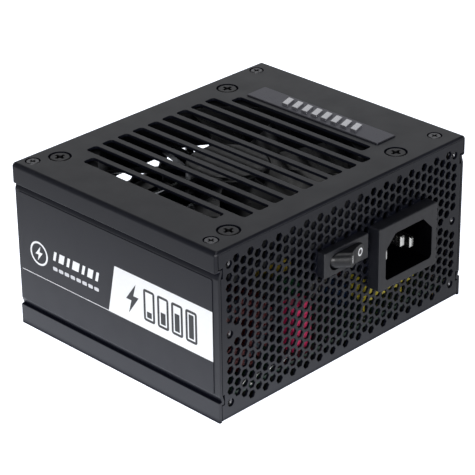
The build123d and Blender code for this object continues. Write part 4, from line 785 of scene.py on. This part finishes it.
# ---------------------------------------------------------------- stage
# The floor, lights and camera are placed in metres, and the floor's glow in millimetres.
BACK_WALL_AIM = (0.66, 0.75, 0.0)   # toward the bright wall behind the object
BACK_WALL_EDGE = (0.25, 0.60)       # share of that direction where the wall begins and is full
WALL_TOP = (0.50, 0.66)             # upward share of a direction where the walls fade into dark flags
BACK_WALL_LIGHT = 0.64
FLAG_LIGHT = 0.06
SKIRT_LIGHT = 0.20
STUDIO_TINT = (0.97, 0.98, 1.0)
FLOOR_HALF = 6.0
FLOOR_DROP = 0.0001
GLOW_TINT = (0.86, 0.90, 1.0)
GLOW_SKEW = 0.6                     # how far the line across the floor leans from Y towards -X
GLOW_EDGE = (-100, 0)               # where the floor's glow rises, in millimetres across it
GLOW_LEVELS = (0.08, 0.95)
GLOW_FADE_X = (-155, -66)
GLOW_FADE = (0.0, 1.45)
GLOW_SEEN = 1.25                    # what the camera itself sees of the glow
CAMERA_ANGLES = (-45.083, 27.063, -0.741)       # azimuth, elevation and roll in degrees
CAMERA_DISTANCE = 0.7612
CAMERA_TARGET = (-0.00206, 0.00026, 0.02926)
CAMERA_LENS = 162.1
LIGHTS = (                          # name, place, aim, size, watts
    ("overhead", (0.0, 0.0, 1.3), (0, 0, 0), (0.9, 0.9), 4),
    ("front_left", (-1.10, -0.60, 0.40), (0, 0, 0.02), (0.7, 0.5), 8.8),
    ("front", (-0.35, -1.15, 0.30), (0, 0, 0.02), (0.6, 0.4), 5.5),
)


def area_light(name, place, aim, size, power):
    data = bpy.data.lights.new(name, "AREA")
    data.shape = "RECTANGLE"
    data.size, data.size_y = size
    data.energy = power
    lamp = bpy.data.objects.new(name, data)
    lamp.location = place
    lamp.rotation_euler = (Vector(aim) - Vector(place)).to_track_quat("-Z", "Y").to_euler()
    bpy.context.scene.collection.objects.link(lamp)


def build_floor():
    """Back-lit white paper: nearly shadowless, and it lightens the lower half of the sides."""
    bm = bmesh.new()
    corners = ((-1, -1), (1, -1), (1, 1), (-1, 1))
    bm.faces.new([bm.verts.new((x * FLOOR_HALF, y * FLOOR_HALF, -FLOOR_DROP)) for x, y in corners])
    mesh = bpy.data.meshes.new("studio_floor")
    bm.to_mesh(mesh)
    bm.free()
    floor = bpy.data.objects.new("studio_floor", mesh)
    bpy.context.scene.collection.objects.link(floor)
    s = Shader("floor_paper", (0.90, 0.90, 0.905), 0.7)
    s.roughness(s.noise(40, detail=3), 0.65, 0.8)
    # glows most on the side that the label wall mirrors, least on the side that the inlet wall mirrors
    across = s.math("SUBTRACT", s.axis("Y"), s.math("MULTIPLY", s.axis("X"), GLOW_SKEW))
    glow = s.remap(across, *GLOW_EDGE, *GLOW_LEVELS)
    # and fades away from the object's foot on the label side
    glow = s.math("MULTIPLY", glow, s.remap(s.axis("X"), *GLOW_FADE_X, *GLOW_FADE))
    path = s.nodes.new("ShaderNodeLightPath")
    strength = s.math("MAXIMUM", glow, s.math("MULTIPLY", path.outputs["Is Camera Ray"], GLOW_SEEN))
    s.link(strength, "Emission Strength")
    s.set(Emission_Color=(*GLOW_TINT, 1))
    mesh.materials.append(s.material)


def build_world():
    """White to the camera. For other rays a low wall, bright at the back, under dark flags."""
    world = bpy.data.worlds.new("studio")
    bpy.context.scene.world = world
    world.use_nodes = True
    tree = world.node_tree
    nodes, links = tree.nodes, tree.links
    nodes.clear()
    output = nodes.new("ShaderNodeOutputWorld")
    direction = nodes.new("ShaderNodeTexCoord").outputs["Generated"]
    split = nodes.new("ShaderNodeSeparateXYZ")
    links.new(direction, split.inputs[0])
    toward_back = nodes.new("ShaderNodeVectorMath")
    toward_back.operation = "DOT_PRODUCT"
    links.new(direction, toward_back.inputs[0])
    toward_back.inputs[1].default_value = BACK_WALL_AIM
    up = split.outputs["Z"]
    low_wall = range_node(tree, up, WALL_TOP, (1.0, 0.0), "SMOOTHSTEP")
    behind = range_node(tree, toward_back.outputs["Value"], BACK_WALL_EDGE, (0.0, 1.0), "SMOOTHSTEP")
    back_wall = math_node(tree, "MULTIPLY", low_wall, behind)
    bright = math_node(tree, "MULTIPLY", back_wall, BACK_WALL_LIGHT - FLAG_LIGHT)
    # a dim skirt right round the horizon, so that the top doesn't go black from the other sides
    skirt = range_node(tree, up, WALL_TOP, (SKIRT_LIGHT, 0.0), "SMOOTHSTEP")
    bright = math_node(tree, "MAXIMUM", bright, skirt)
    studio = nodes.new("ShaderNodeBackground")
    studio.inputs["Color"].default_value = (*STUDIO_TINT, 1)
    links.new(math_node(tree, "ADD", bright, FLAG_LIGHT), studio.inputs["Strength"])
    plain = nodes.new("ShaderNodeBackground")
    plain.inputs["Color"].default_value = (1, 1, 1, 1)
    path = nodes.new("ShaderNodeLightPath")
    mix = nodes.new("ShaderNodeMixShader")
    links.new(path.outputs["Is Camera Ray"], mix.inputs[0])
    links.new(studio.outputs[0], mix.inputs[1])
    links.new(plain.outputs[0], mix.inputs[2])
    links.new(mix.outputs[0], output.inputs["Surface"])


def build_camera():
    """Long lens at the height and angle of a three-quarter product view."""
    azimuth, elevation, roll = (math.radians(a) for a in CAMERA_ANGLES)
    back = Vector((math.sin(azimuth) * math.cos(elevation), -math.cos(azimuth) * math.cos(elevation),
                   math.sin(elevation)))
    right = (-back).cross(Vector((0, 0, 1))).normalized()
    up = right.cross(-back)
    tilted_right = right * math.cos(roll) + up * math.sin(roll)
    tilted_up = up * math.cos(roll) - right * math.sin(roll)
    data = bpy.data.cameras.new("camera")
    data.lens = CAMERA_LENS
    data.clip_start = 0.01
    camera = bpy.data.objects.new("camera", data)
    turn = Matrix((tilted_right, tilted_up, back)).transposed().to_4x4()
    camera.matrix_world = Matrix.Translation(Vector(CAMERA_TARGET) + back * CAMERA_DISTANCE) @ turn
    bpy.context.scene.collection.objects.link(camera)
    bpy.context.scene.camera = camera


build_floor()
build_world()
build_camera()
for light in LIGHTS:
    area_light(*light)
bpy.context.scene.view_settings.view_transform = "Standard"
